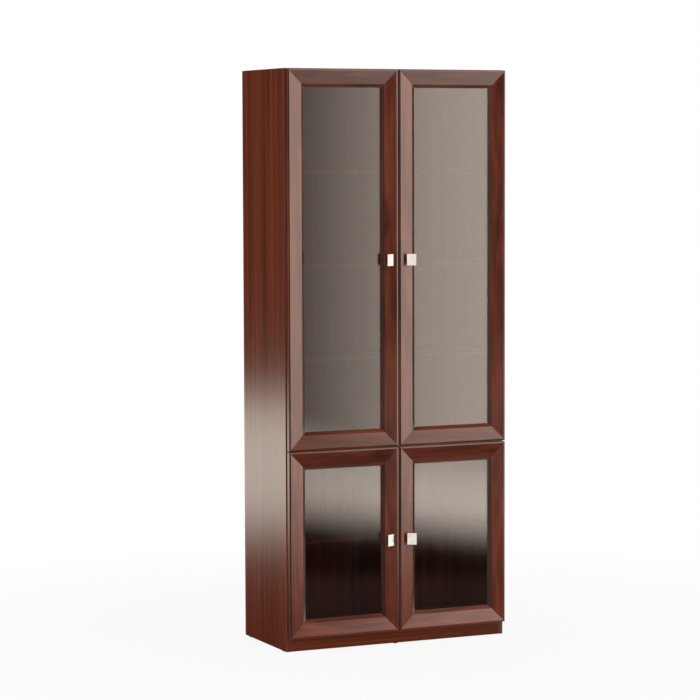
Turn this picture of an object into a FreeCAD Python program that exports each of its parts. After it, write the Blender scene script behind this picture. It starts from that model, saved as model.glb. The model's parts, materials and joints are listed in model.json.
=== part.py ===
"""Tall display cabinet with four framed glass doors, built as separate boards, door pieces and fittings.

The frame: X to the right, Y to the rear, Z up, origin on the floor in the middle of the whole outline.
Every driving size is a cell of the Sizes sheet, in millimetres, and every piece follows it by expressions.
"""

import FreeCAD, Part
import Sketcher
import os

# Driving sizes: name, value, what it measures
SIZES = [
    ("width", 881.5, "across both side boards"),
    ("height", 2110, "floor to the top board"),
    ("side_depth", 394, "side board, front edge to rear edge"),
    ("board_thickness", 16, "every board of the carcass"),
    ("plinth_top", 51, "floor to the underside of the bottom board"),
    ("plinth_recess", 2, "front plinth behind the carcass front"),
    ("rear_plinth_inset", 40, "rear plinth in front of the back panel"),
    ("middle_height", 734, "floor to the middle of the fixed middle board"),
    ("back_thickness", 3, "back panel"),
    ("back_inset", 10, "back panel in front of the rear edges"),
    ("groove_depth", 8, "groove for the back panel in the side boards"),
    ("groove_fit", 0.2, "play of the back panel across its groove"),
    ("groove_end_fit", 1, "back panel short of the bottom of its groove"),
    ("back_foot", 20, "bottom edge of the back panel above the floor"),
    ("glide_height", 3, "floor glide"),
    ("glide_radius", 7, "floor glide"),
    ("glide_inset", 40, "floor glide from the ends of its board"),
    ("upper_shelf_rise", 326, "middle board to the lowest upper shelf, centres"),
    ("top_shelf_drop", 364, "highest upper shelf below the top board, centres"),
    ("shelf_setback", 20, "shelf behind the carcass front"),
    ("shelf_end_fit", 1, "shelf short of the boards beside it"),
    ("shelf_back_fit", 2, "shelf short of the back panel"),
    ("peg_radius", 2.5, "shelf peg spigot"),
    ("peg_length", 7, "spigot inside its board"),
    ("peg_reach", 9, "peg block under the shelf, out from the board"),
    ("peg_width", 9, "peg block, front to back"),
    ("peg_height", 6, "peg block, up and down"),
    ("peg_inset", 50, "peg from the front and rear edge of a shelf"),
    ("drill_fit", 0.1, "play of a fitting in its hole"),
    ("drill_end_fit", 0.3, "hole deeper than what sits in it"),
    ("overrun", 2, "how far a cutting tool passes the face it enters"),
    ("cam_radius", 7.5, "connector cam"),
    ("cam_depth", 12, "connector cam"),
    ("cam_inset", 34, "cam from the end of its board"),
    ("cam_margin", 60, "connectors from the front and rear of a board"),
    ("bolt_radius", 3, "connector bolt"),
    ("bolt_depth", 7, "connector bolt inside the cross board"),
    ("bolt_end_fit", 0.2, "connector bolt short of its cam"),
    ("bumper_radius", 2.5, "door bumper"),
    ("bumper_gap", 0.3, "bumper short of the closed door"),
    ("bumper_inset", 22, "bumper from the middle of the cabinet"),
    ("bumper_lap", 3, "bumper inside the edge of its door"),
    ("door_thickness", 22, "door frame, front ridge to back"),
    ("door_standoff", 4, "closed door in front of the carcass"),
    ("door_spacing", 4, "between neighbouring doors"),
    ("side_reveal", 3.25, "door inside the outer face of the side board"),
    ("top_reveal", 2, "upper door below the top"),
    ("bottom_reveal", 2, "lower door above the underside of the bottom board"),
    ("frame_width", 66, "outer edge of a door to the visible glass"),
    ("lip_width", 6, "lip round the door, outer edge to the ridge"),
    ("lip_drop", 1.6, "lip, down towards the outer edge"),
    ("face_width", 54, "outer edge to the end of the sloping face"),
    ("face_drop", 4.2, "sloping face, down towards the glass"),
    ("bevel_drop", 7.8, "inner bevel, down towards the glass"),
    ("sight_edge", 2.5, "straight edge in front of the glass"),
    ("rebate_width", 8, "rebate for the glass"),
    ("edge_round", 1.5, "rounded outer arris"),
    ("edge_near", 0.1, "how close to a line an end counts as on it"),
    ("glass_thickness", 4, "pane"),
    ("glass_fit", 1, "pane inside its rebate"),
    ("bead_width", 7, "bead behind the pane"),
    ("bead_fit", 0.2, "bead inside its rebate"),
    ("knob_edge", 25, "edge of the door to the near side of the knob head"),
    ("knob_width", 31.5, "knob head, across"),
    ("knob_tall", 44, "knob head, up and down"),
    ("upper_knob_drop", 4, "knob of an upper door below the middle of the door"),
    ("knob_low", 10.5, "near side of the knob head in front of the door"),
    ("knob_high", 27.5, "far side of the knob head in front of the door"),
    ("knob_plate", 7, "knob head, thickness"),
    ("knob_round", 1.2, "rounded edges of the knob head"),
    ("neck_edge", 4.5, "near side of the head to the neck"),
    ("neck_width", 18, "knob neck, across"),
    ("neck_tall", 30, "knob neck, up and down"),
    ("knob_screw_radius", 2, "screw of the knob"),
    ("knob_screw_grip", 8, "screw inside the knob"),
    ("knob_screw_head", 4, "radius of the screw's head"),
    ("knob_screw_head_tall", 2, "height of the screw's head"),
    ("hinge_end", 100, "outer hinges from the ends of a door"),
    ("cup_radius", 17.5, "hinge cup"),
    ("cup_depth", 12.5, "hinge cup"),
    ("cup_wall", 1.5, "hinge cup"),
    ("cup_floor", 1, "hinge cup"),
    ("cup_edge", 3, "edge of the door to the hinge cup"),
    ("flange_width", 22, "flange of the cup, across"),
    ("flange_length", 58, "flange of the cup, up and down"),
    ("flange_thickness", 1, "flange of the cup"),
    ("flange_pitch", 45, "between the two screws of a flange"),
    ("cup_screw_radius", 1.5, "screw of the flange"),
    ("cup_screw_length", 11, "screw of the flange, inside the door"),
    ("cup_screw_head", 3.2, "radius of the screw's head"),
    ("cup_screw_head_tall", 0.8, "height of the screw's head"),
    ("axle_inset", 8.5, "edge of the door to the hinge pin"),
    ("axle_depth", 8, "back of the door to the hinge pin"),
    ("axle_radius", 1.25, "hinge pin"),
    ("axle_end_fit", 0.2, "hinge pin short of the outside of its cup"),
    ("axle_fit", 0.05, "running play round the hinge pin"),
    ("eye_radius", 2.4, "eye of the hinge arm"),
    ("tongue_width", 6, "tongue of the hinge arm, up and down"),
    ("tongue_thickness", 3, "tongue of the hinge arm"),
    ("riser_inset", 11.5, "hinge pin to the riser of the arm"),
    ("riser_thickness", 3.5, "riser of the arm"),
    ("arm_start", 6, "bar of the arm behind the carcass front"),
    ("arm_length", 52, "bar of the arm"),
    ("arm_width", 13, "bar of the arm, up and down"),
    ("arm_thickness", 7, "bar of the arm"),
    ("plate_start", 14, "mounting plate behind the carcass front"),
    ("plate_length", 44, "mounting plate"),
    ("plate_width", 14, "mounting plate, up and down"),
    ("plate_thickness", 4, "mounting plate"),
    ("wing_centre", 37, "wings of the plate behind the carcass front"),
    ("wing_width", 14, "wings of the plate, front to back"),
    ("wing_length", 50, "wings of the plate, up and down"),
    ("wing_thickness", 3, "wings of the plate"),
]
UPPER_SHELVES = 3

doc = FreeCAD.newDocument("DisplayCabinet")
sheet = doc.addObject("Spreadsheet::Sheet", "Sizes")
for row, (name, value, note) in enumerate(SIZES, start=1):
    sheet.set(f"A{row}", name)
    sheet.set(f"B{row}", str(value))
    sheet.set(f"C{row}", note)
    sheet.setAlias(f"B{row}", name)
doc.recompute()

# Planes and lines that several pieces share
REAR = "((Sizes.side_depth + Sizes.door_standoff + Sizes.door_thickness + Sizes.knob_high) / 2)"
FRONT = f"({REAR} - Sizes.side_depth)"
DOOR_BACK = f"({FRONT} - Sizes.door_standoff)"
DOOR_FRONT = f"({DOOR_BACK} - Sizes.door_thickness)"
BACK_FACE = f"({REAR} - Sizes.back_inset - Sizes.back_thickness)"
INNER = "(Sizes.width / 2 - Sizes.board_thickness)"
HALF_BOARD = "(Sizes.board_thickness / 2)"
BOARD_DEPTH = f"({BACK_FACE} - {FRONT})"
TOP_UNDER = "(Sizes.height - Sizes.board_thickness)"
BOTTOM_TOP = "(Sizes.plinth_top + Sizes.board_thickness)"
MIDDLE_UNDER = f"(Sizes.middle_height - {HALF_BOARD})"
MIDDLE_TOP = f"(Sizes.middle_height + {HALF_BOARD})"
DOOR_WIDTH = "((Sizes.width - 2 * Sizes.side_reveal - Sizes.door_spacing) / 2)"
GLASS_SEAT = "(Sizes.face_drop + Sizes.bevel_drop + Sizes.sight_edge)"
REBATE = "(Sizes.frame_width - Sizes.rebate_width)"
FACE_SLOPE = "(Sizes.face_drop / (Sizes.face_width - Sizes.lip_width))"
CUP_CENTRE = "(Sizes.cup_edge + Sizes.cup_radius)"
AXLE_X = f"(Sizes.axle_inset - {CUP_CENTRE})"
AXLE_SPAN = f"sqrt(Sizes.cup_radius ^ 2 - ({AXLE_X} - Sizes.axle_radius) ^ 2)"
AXLE_HALF = f"({AXLE_SPAN} - Sizes.axle_end_fit)"

X_AXIS = FreeCAD.Vector(1, 0, 0)
Y_AXIS = FreeCAD.Vector(0, 1, 0)
Z_AXIS = FreeCAD.Vector(0, 0, 1)
ALONG_Z = FreeCAD.Rotation()
ALONG_X = FreeCAD.Rotation(Y_AXIS, 90)
AGAINST_X = FreeCAD.Rotation(Y_AXIS, -90)
AGAINST_Y = FreeCAD.Rotation(X_AXIS, 90)
AGAINST_Z = FreeCAD.Rotation(X_AXIS, 180)
ABOUT_FACE = FreeCAD.Rotation(Z_AXIS, 180)
UPSIDE_DOWN = FreeCAD.Rotation(Y_AXIS, 180)

nodes = []


def keep(thing, name):
    """Label a finished piece with its node name and list it for writing."""
    thing.Label = name
    nodes.append(thing)
    return thing


def put(thing, at, turn=ALONG_Z):
    """Turn a thing and tie its position to three expressions."""
    thing.Placement = FreeCAD.Placement(FreeCAD.Vector(), turn)
    for letter, expression in zip("xyz", at):
        thing.setExpression(f"Placement.Base.{letter}", str(expression))
    return thing


def block(name, at, size):
    """Rectangular block from its low corner and its size along X, Y and Z."""
    thing = doc.addObject("Part::Box", name)
    for cell, expression in zip(("Length", "Width", "Height"), size):
        thing.setExpression(cell, str(expression))
    return put(thing, at)


def rod(name, radius, length, at=(0, 0, 0), turn=ALONG_Z):
    """Round rod from the middle of its first end, along Z before it is turned."""
    thing = doc.addObject("Part::Cylinder", name)
    thing.setExpression("Radius", radius)
    thing.setExpression("Height", length)
    return put(thing, at, turn)


def copies(name, master, places):
    """One link to a master for each place, a place being a position and a turn."""
    links = []
    for number, (at, turn) in enumerate(places, start=1):
        link = doc.addObject("App::Link", f"{name}_{number}")
        link.LinkedObject = master
        links.append(put(link, at, turn))
    return links


def bundle(name, things):
    """Several separate solids as one object."""
    thing = doc.addObject("Part::Compound", name)
    thing.Links = things
    return thing


def joined(name, things):
    """Several solids made into one."""
    thing = doc.addObject("Part::MultiFuse", name)
    thing.Shapes = things
    return thing


def cut(name, base, tools):
    """A solid with tools taken out of it."""
    thing = doc.addObject("Part::Cut", name)
    thing.Base = base
    thing.Tool = joined(f"{name}_tools", tools) if len(tools) > 1 else tools[0]
    return thing


def origin_plane(body, role):
    """One of a body's own origin planes."""
    return next(part for part in body.Origin.OriginFeatures if part.Role == role)


def polygon(body, name, role, corners):
    """Closed sketch whose corners are tied to expressions, on an origin plane of the body."""
    sketch = body.newObject("Sketcher::SketchObject", name)
    sketch.AttachmentSupport = [(origin_plane(body, role), "")]
    sketch.MapMode = "FlatFace"
    points = [FreeCAD.Vector(*(sheet.evalExpression(value) for value in corner), 0) for corner in corners]
    count = len(points)
    for number in range(count):
        sketch.addGeometry(Part.LineSegment(points[number], points[(number + 1) % count]), False)
    for number in range(count):
        sketch.addConstraint(Sketcher.Constraint("Coincident", number, 2, (number + 1) % count, 1))
    for number, corner in enumerate(corners):
        for kind, expression, value in zip(("DistanceX", "DistanceY"), corner, points[number]):
            index = sketch.addConstraint(Sketcher.Constraint(kind, -1, 1, number, 1, value))
            sketch.setExpression(f"Constraints[{index}]", expression)
    return sketch


def edge_names(shape, wanted):
    """Names of the edges whose two ends both pass a test."""
    found = []
    for number, edge in enumerate(shape.Edges, start=1):
        if all(wanted(vertex.Point) for vertex in edge.Vertexes):
            found.append(f"Edge{number}")
    return found


# Connectors: bolts screwed into a cross board, held by cams in the board that meets it
CONNECTOR_ROWS = (f"{FRONT} + Sizes.cam_margin", f"{BACK_FACE} - Sizes.cam_margin")
BOLT_REACH = "(Sizes.cam_inset - Sizes.cam_radius - Sizes.bolt_end_fit)"

cam = rod("cam", "Sizes.cam_radius", "Sizes.cam_depth")
bolt = rod("bolt", "Sizes.bolt_radius", f"Sizes.bolt_depth + {BOLT_REACH}")
cam_pocket = rod(
    "cam_pocket",
    "Sizes.cam_radius + Sizes.drill_fit",
    "Sizes.overrun + Sizes.cam_depth + Sizes.drill_end_fit",
)
bolt_bore = rod("bolt_bore", "Sizes.bolt_radius + Sizes.drill_fit", "Sizes.overrun + Sizes.cam_inset")
bolt_hole = rod(
    "bolt_hole",
    "Sizes.bolt_radius + Sizes.drill_fit",
    "Sizes.overrun + Sizes.bolt_depth + Sizes.drill_end_fit",
)

# Shelf pegs: a spigot in the board and a block under the shelf
peg = joined(
    "peg",
    [
        rod(
            "peg_spigot",
            "Sizes.peg_radius",
            "Sizes.peg_length + Sizes.peg_reach / 2",
            ("-Sizes.peg_length", 0, "-Sizes.peg_height / 2"),
            ALONG_X,
        ),
        block(
            "peg_block",
            (0, "-Sizes.peg_width / 2", "-Sizes.peg_height"),
            ("Sizes.peg_reach", "Sizes.peg_width", "Sizes.peg_height"),
        ),
    ],
)
peg_hole = rod(
    "peg_hole",
    "Sizes.peg_radius + Sizes.drill_fit",
    "Sizes.overrun + Sizes.peg_length + Sizes.drill_end_fit",
)
SHELF_FRONT = f"({FRONT} + Sizes.shelf_setback)"
SHELF_REAR = f"({BACK_FACE} - Sizes.shelf_back_fit)"
PEG_ROWS = (f"{SHELF_FRONT} + Sizes.peg_inset", f"{SHELF_REAR} - Sizes.peg_inset")

SHELF_RUN = f"({TOP_UNDER} - {MIDDLE_UNDER} - Sizes.upper_shelf_rise - Sizes.top_shelf_drop)"
SHELF_PITCH = f"({SHELF_RUN} / {UPPER_SHELVES - 1})"
UPPER_SHELF_UNDERS = [
    f"({MIDDLE_UNDER} + Sizes.upper_shelf_rise + {number} * {SHELF_PITCH})"
    for number in range(UPPER_SHELVES)
]
LOWER_SHELF_UNDERS = [f"(({BOTTOM_TOP} + {MIDDLE_UNDER} - Sizes.board_thickness) / 2)"]


def peg_drills(name, face, turn, unders):
    """Peg holes into a board face, for shelves with these undersides."""
    inward = "-" if turn is ALONG_X else "+"
    start = f"{face} {inward} Sizes.overrun"
    places = []
    for under in unders:
        for row in PEG_ROWS:
            places.append(((start, row, f"{under} - Sizes.peg_height / 2"), turn))
    return copies(name, peg_hole, places)


# Side boards, grooved for the back panel and drilled for pegs and connectors
CROSS_BOARD_MIDDLES = (
    f"{TOP_UNDER} + {HALF_BOARD}",
    "Sizes.middle_height",
    f"Sizes.plinth_top + {HALF_BOARD}",
)


def side_board(name, outer_low, groove_low, face, turn):
    """Side board with its groove, peg holes and bolt holes."""
    board = block(
        f"{name}_blank",
        (outer_low, FRONT, "Sizes.glide_height"),
        ("Sizes.board_thickness", "Sizes.side_depth", "Sizes.height - Sizes.glide_height"),
    )
    groove = block(
        f"{name}_groove",
        (groove_low, f"{BACK_FACE} - Sizes.groove_fit", "Sizes.glide_height - Sizes.overrun"),
        (
            "Sizes.groove_depth + Sizes.overrun",
            "Sizes.back_thickness + 2 * Sizes.groove_fit",
            "Sizes.height - Sizes.glide_height + 2 * Sizes.overrun",
        ),
    )
    inward = "-" if turn is ALONG_X else "+"
    places = []
    for middle in CROSS_BOARD_MIDDLES:
        for row in CONNECTOR_ROWS:
            places.append(((f"{face} {inward} Sizes.overrun", row, middle), turn))
    bolt_holes = copies(f"{name}_bolt_hole", bolt_hole, places)
    peg_holes = peg_drills(f"{name}_peg_hole", face, turn, UPPER_SHELF_UNDERS + LOWER_SHELF_UNDERS)
    return keep(cut(f"{name}_board", board, [groove] + bolt_holes + peg_holes), name)


side_board(
    "left_side",
    "-Sizes.width / 2",
    f"-{INNER} - Sizes.groove_depth",
    f"-{INNER}",
    AGAINST_X,
)
side_board(
    "right_side",
    INNER,
    f"{INNER} - Sizes.overrun",
    INNER,
    ALONG_X,
)

# Boards across the cabinet, held to the sides and to the partitions
cams = []
bolts = []


def cross_board(name, under, holes_above, holes_below):
    """Board between the sides with its connectors, drilled for the partitions that meet it."""
    blank = block(
        f"{name}_blank",
        (f"-{INNER}", FRONT, under),
        (f"2 * {INNER}", BOARD_DEPTH, "Sizes.board_thickness"),
    )
    pockets = []
    bores = []
    cam_places = []
    bolt_places = []
    middle = f"{under} + {HALF_BOARD}"
    for row in CONNECTOR_ROWS:
        for sign, inward, outward in (("-", ALONG_X, "-"), ("", AGAINST_X, "+")):
            cam_x = f"{sign}({INNER} - Sizes.cam_inset)"
            cam_places.append(((cam_x, row, under), ALONG_Z))
            pockets.append(((cam_x, row, f"{under} - Sizes.overrun"), ALONG_Z))
            bores.append(((f"{sign}{INNER} {outward} Sizes.overrun", row, middle), inward))
            bolt_places.append(((f"{sign}{INNER} {outward} Sizes.bolt_depth", row, middle), inward))
    cams.extend(copies(f"{name}_cam", cam, cam_places))
    bolts.extend(copies(f"{name}_bolt", bolt, bolt_places))
    top = f"{under} + Sizes.board_thickness"
    drills = []
    for row in CONNECTOR_ROWS:
        if holes_above:
            drills.append(((0, row, f"{top} + Sizes.overrun"), AGAINST_Z))
        if holes_below:
            drills.append(((0, row, f"{under} - Sizes.overrun"), ALONG_Z))
    tools = copies(f"{name}_pocket", cam_pocket, pockets)
    tools += copies(f"{name}_bore", bolt_bore, bores)
    tools += copies(f"{name}_bolt_hole", bolt_hole, drills)
    return keep(cut(f"{name}_board", blank, tools), name)


cross_board("top_board", TOP_UNDER, holes_above=False, holes_below=True)
cross_board("middle_board", MIDDLE_UNDER, holes_above=True, holes_below=True)
cross_board("bottom_board", "Sizes.plinth_top", holes_above=True, holes_below=False)


def partition(name, low, high, unders):
    """Upright board in the middle, with connectors at both ends and pegs on both faces."""
    blank = block(
        f"{name}_blank",
        (f"-{HALF_BOARD}", FRONT, low),
        ("Sizes.board_thickness", BOARD_DEPTH, f"{high} - {low}"),
    )
    pockets = []
    bores = []
    cam_places = []
    bolt_places = []
    face = f"-{HALF_BOARD}"
    for row in CONNECTOR_ROWS:
        for end, sign, outward, inward in ((low, "+", "-", ALONG_Z), (high, "-", "+", AGAINST_Z)):
            cam_z = f"{end} {sign} Sizes.cam_inset"
            cam_places.append(((face, row, cam_z), ALONG_X))
            pockets.append(((f"{face} - Sizes.overrun", row, cam_z), ALONG_X))
            bores.append(((0, row, f"{end} {outward} Sizes.overrun"), inward))
            bolt_places.append(((0, row, f"{end} {outward} Sizes.bolt_depth"), inward))
    cams.extend(copies(f"{name}_cam", cam, cam_places))
    bolts.extend(copies(f"{name}_bolt", bolt, bolt_places))
    tools = copies(f"{name}_pocket", cam_pocket, pockets)
    tools += copies(f"{name}_bore", bolt_bore, bores)
    tools += peg_drills(f"{name}_left_peg_hole", face, ALONG_X, unders)
    tools += peg_drills(f"{name}_right_peg_hole", HALF_BOARD, AGAINST_X, unders)
    return keep(cut(f"{name}_board", blank, tools), name)


partition("upper_partition", MIDDLE_TOP, TOP_UNDER, UPPER_SHELF_UNDERS)
partition("lower_partition", BOTTOM_TOP, MIDDLE_UNDER, LOWER_SHELF_UNDERS)
keep(bundle("connector_cams", cams), "connector_cams")
keep(bundle("connector_bolts", bolts), "connector_bolts")

# Plinths between the sides, under the bottom board
PLINTH_SIZE = (f"2 * {INNER}", "Sizes.board_thickness", "Sizes.plinth_top - Sizes.glide_height")
PLINTH_FRONT = f"({FRONT} + Sizes.plinth_recess)"
REAR_PLINTH_FRONT = f"({BACK_FACE} - Sizes.rear_plinth_inset - Sizes.board_thickness)"
front_plinth = block("front_plinth_board", (f"-{INNER}", PLINTH_FRONT, "Sizes.glide_height"), PLINTH_SIZE)
rear_plinth = block("rear_plinth_board", (f"-{INNER}", REAR_PLINTH_FRONT, "Sizes.glide_height"), PLINTH_SIZE)
keep(front_plinth, "front_plinth")
keep(rear_plinth, "rear_plinth")

# Back panel, held in the grooves of the sides
BACK_HALF = f"({INNER} + Sizes.groove_depth - Sizes.groove_end_fit)"
back_panel = block(
    "back_sheet",
    (f"-{BACK_HALF}", BACK_FACE, "Sizes.back_foot"),
    (f"2 * {BACK_HALF}", "Sizes.back_thickness", "Sizes.height - Sizes.back_foot"),
)
keep(back_panel, "back_panel")

# Shelves and the pegs under them
pegs = []


def shelf_column(name, low, high, unders):
    """Shelves above one another between two board faces, on four pegs each."""
    shelves = []
    for number, under in enumerate(unders, start=1):
        shelves.append(
            block(
                f"{name}_{number}",
                (f"{low} + Sizes.shelf_end_fit", SHELF_FRONT, under),
                (
                    f"{high} - {low} - 2 * Sizes.shelf_end_fit",
                    f"{SHELF_REAR} - {SHELF_FRONT}",
                    "Sizes.board_thickness",
                ),
            )
        )
        places = []
        for row in PEG_ROWS:
            places.append(((low, row, under), ALONG_Z))
            places.append(((high, row, under), ABOUT_FACE))
        pegs.extend(copies(f"{name}_{number}_peg", peg, places))
    return shelves


LEFT_BAY = (f"(-{INNER})", f"(-{HALF_BOARD})")
RIGHT_BAY = (HALF_BOARD, INNER)
upper_left = shelf_column("upper_left_shelf", *LEFT_BAY, UPPER_SHELF_UNDERS)
upper_right = shelf_column("upper_right_shelf", *RIGHT_BAY, UPPER_SHELF_UNDERS)
lower_left = shelf_column("lower_left_shelf", *LEFT_BAY, LOWER_SHELF_UNDERS)
lower_right = shelf_column("lower_right_shelf", *RIGHT_BAY, LOWER_SHELF_UNDERS)
keep(bundle("upper_left_boards", upper_left), "upper_left_shelves")
keep(bundle("upper_right_boards", upper_right), "upper_right_shelves")
keep(bundle("lower_boards", lower_left + lower_right), "lower_shelves")
keep(bundle("pegs", pegs), "shelf_pegs")

# Floor glides under the sides and the plinths
SIDE_MIDDLE = f"(Sizes.width / 2 - {HALF_BOARD})"
glide = rod("glide", "Sizes.glide_radius", "Sizes.glide_height")
glide_places = [
    ((0, f"{PLINTH_FRONT} + {HALF_BOARD}", 0), ALONG_Z),
    ((0, f"{REAR_PLINTH_FRONT} + {HALF_BOARD}", 0), ALONG_Z),
]
for sign in ("-", ""):
    for row in (f"{FRONT} + Sizes.glide_inset", f"{REAR} - Sizes.glide_inset"):
        glide_places.append(((f"{sign}{SIDE_MIDDLE}", row, 0), ALONG_Z))
keep(bundle("glides", copies("floor_glide", glide, glide_places)), "floor_glides")

# Bumpers on the front edges, where the free corners of the closed doors come
bumper = rod("bumper", "Sizes.bumper_radius", "Sizes.door_standoff - Sizes.bumper_gap")
bumper_places = []
for sign in ("-", ""):
    for rise in (
        f"{TOP_UNDER} + {HALF_BOARD}",
        "Sizes.middle_height + Sizes.door_spacing / 2 + Sizes.bumper_lap",
        "Sizes.middle_height - Sizes.door_spacing / 2 - Sizes.bumper_lap",
        f"Sizes.plinth_top + {HALF_BOARD}",
    ):
        bumper_places.append(((f"{sign}Sizes.bumper_inset", FRONT, rise), AGAINST_Y))
keep(bundle("bumpers", copies("door_bumper", bumper, bumper_places)), "door_bumpers")

# One hinge, drawn from the middle of its cup on the back of the door, X away from the hinged edge
cup_shell = rod("cup_shell", "Sizes.cup_radius", "Sizes.cup_depth", turn=AGAINST_Y)
cup_flange = block(
    "cup_flange",
    ("-Sizes.flange_width / 2", 0, "-Sizes.flange_length / 2"),
    ("Sizes.flange_width", "Sizes.flange_thickness", "Sizes.flange_length"),
)
cup_hollow = rod(
    "cup_hollow",
    "Sizes.cup_radius - Sizes.cup_wall",
    "Sizes.flange_thickness + Sizes.overrun + Sizes.cup_depth - Sizes.cup_floor",
    (0, "Sizes.flange_thickness + Sizes.overrun", 0),
    AGAINST_Y,
)
AXLE_AT = (AXLE_X, "-Sizes.axle_depth", f"-{AXLE_HALF}")
axle = rod("axle", "Sizes.axle_radius", f"2 * {AXLE_HALF}", AXLE_AT)
axle_seat = rod(
    "axle_seat",
    "Sizes.axle_radius + Sizes.axle_fit",
    f"2 * {AXLE_HALF} + 2 * Sizes.axle_fit",
    (AXLE_X, "-Sizes.axle_depth", f"-{AXLE_HALF} - Sizes.axle_fit"),
)
flange_hole = rod(
    "flange_hole",
    "Sizes.cup_screw_radius + Sizes.drill_fit",
    "Sizes.flange_thickness + 2 * Sizes.overrun",
)
FLANGE_SCREWS = ("Sizes.flange_pitch / 2", "-Sizes.flange_pitch / 2")
flange_holes = copies(
    "cup_flange_hole",
    flange_hole,
    [((0, "Sizes.flange_thickness + Sizes.overrun", rise), AGAINST_Y) for rise in FLANGE_SCREWS],
)
cup_solid = joined("cup_solid", [cup_shell, cup_flange])
cup = cut("cup", cup_solid, [cup_hollow, axle_seat] + flange_holes)

SIDE_FACE = f"(Sizes.board_thickness - Sizes.side_reveal - {CUP_CENTRE})"
TONGUE_LOW = "(-Sizes.axle_depth - Sizes.tongue_thickness / 2)"
ARM_FRONT = "(Sizes.door_standoff + Sizes.arm_start)"
arm_pieces = [
    rod(
        "arm_eye",
        "Sizes.eye_radius",
        "Sizes.tongue_width",
        (AXLE_X, "-Sizes.axle_depth", "-Sizes.tongue_width / 2"),
    ),
    block(
        "arm_tongue",
        (AXLE_X, TONGUE_LOW, "-Sizes.tongue_width / 2"),
        ("Sizes.riser_inset + Sizes.riser_thickness", "Sizes.tongue_thickness", "Sizes.tongue_width"),
    ),
    block(
        "arm_riser",
        (f"{AXLE_X} + Sizes.riser_inset", TONGUE_LOW, "-Sizes.tongue_width / 2"),
        ("Sizes.riser_thickness", f"{ARM_FRONT} + Sizes.overrun - {TONGUE_LOW}", "Sizes.tongue_width"),
    ),
    block(
        "arm_bar",
        (f"{SIDE_FACE} + Sizes.plate_thickness", ARM_FRONT, "-Sizes.arm_width / 2"),
        ("Sizes.arm_thickness", "Sizes.arm_length", "Sizes.arm_width"),
    ),
]
eye_bore = rod(
    "eye_bore",
    "Sizes.axle_radius + Sizes.axle_fit",
    "Sizes.tongue_width + 2 * Sizes.overrun",
    (AXLE_X, "-Sizes.axle_depth", "-Sizes.tongue_width / 2 - Sizes.overrun"),
)
arm = cut("arm", joined("arm_solid", arm_pieces), [eye_bore])
plate = joined(
    "plate",
    [
        block(
            "plate_spine",
            (SIDE_FACE, "Sizes.door_standoff + Sizes.plate_start", "-Sizes.plate_width / 2"),
            ("Sizes.plate_thickness", "Sizes.plate_length", "Sizes.plate_width"),
        ),
        block(
            "plate_wings",
            (
                SIDE_FACE,
                "Sizes.door_standoff + Sizes.wing_centre - Sizes.wing_width / 2",
                "-Sizes.wing_length / 2",
            ),
            ("Sizes.wing_thickness", "Sizes.wing_width", "Sizes.wing_length"),
        ),
    ],
)
cup_screw = joined(
    "cup_screw",
    [
        rod(
            "cup_screw_head",
            "Sizes.cup_screw_head",
            "Sizes.cup_screw_head_tall",
            (0, "Sizes.flange_thickness + Sizes.cup_screw_head_tall", 0),
            AGAINST_Y,
        ),
        rod(
            "cup_screw_shank",
            "Sizes.cup_screw_radius",
            "Sizes.flange_thickness + Sizes.cup_screw_length",
            (0, "Sizes.flange_thickness", 0),
            AGAINST_Y,
        ),
    ],
)
cup_bore = rod(
    "cup_bore",
    "Sizes.cup_radius + Sizes.drill_fit",
    "Sizes.overrun + Sizes.cup_depth + Sizes.drill_fit",
)
cup_screw_bore = rod(
    "cup_screw_bore",
    "Sizes.cup_screw_radius + Sizes.drill_fit",
    "Sizes.overrun + Sizes.cup_screw_length + Sizes.drill_end_fit",
)

# Knob: a wedge head that leans towards the gap between the doors, on a narrower neck
NECK_NEAR = "(Sizes.knob_edge + Sizes.neck_edge)"
NECK_FAR = f"({NECK_NEAR} + Sizes.neck_width)"
NECK_MIDDLE = f"({NECK_NEAR} + Sizes.neck_width / 2)"
KNOB_SLOPE = "((Sizes.knob_high - Sizes.knob_low) / Sizes.knob_width)"


def face_depth(across):
    """Depth of the sloping face of the door frame below its ridge, this far from the door's edge."""
    return f"(({across} - Sizes.lip_width) * {FACE_SLOPE})"


def head_middle(across):
    """Middle of the knob head's thickness, this far from the door's edge."""
    return f"(Sizes.knob_plate / 2 - Sizes.knob_low - ({across} - Sizes.knob_edge) * {KNOB_SLOPE})"


knob_screw = joined(
    "knob_screw",
    [
        rod(
            "knob_screw_head_disc",
            "Sizes.knob_screw_head",
            "Sizes.knob_screw_head_tall",
            (0, "Sizes.knob_screw_head_tall", 0),
            AGAINST_Y,
        ),
        rod(
            "knob_screw_shank",
            "Sizes.knob_screw_radius",
            f"Sizes.door_thickness - {face_depth(NECK_MIDDLE)} + Sizes.knob_screw_grip",
            turn=AGAINST_Y,
        ),
    ],
)
knob_screw_bore = rod(
    "knob_screw_bore",
    "Sizes.knob_screw_radius + Sizes.drill_fit",
    f"Sizes.overrun + Sizes.door_thickness - {face_depth(NECK_MIDDLE)}"
    " + Sizes.knob_screw_grip + Sizes.drill_end_fit",
)


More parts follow.
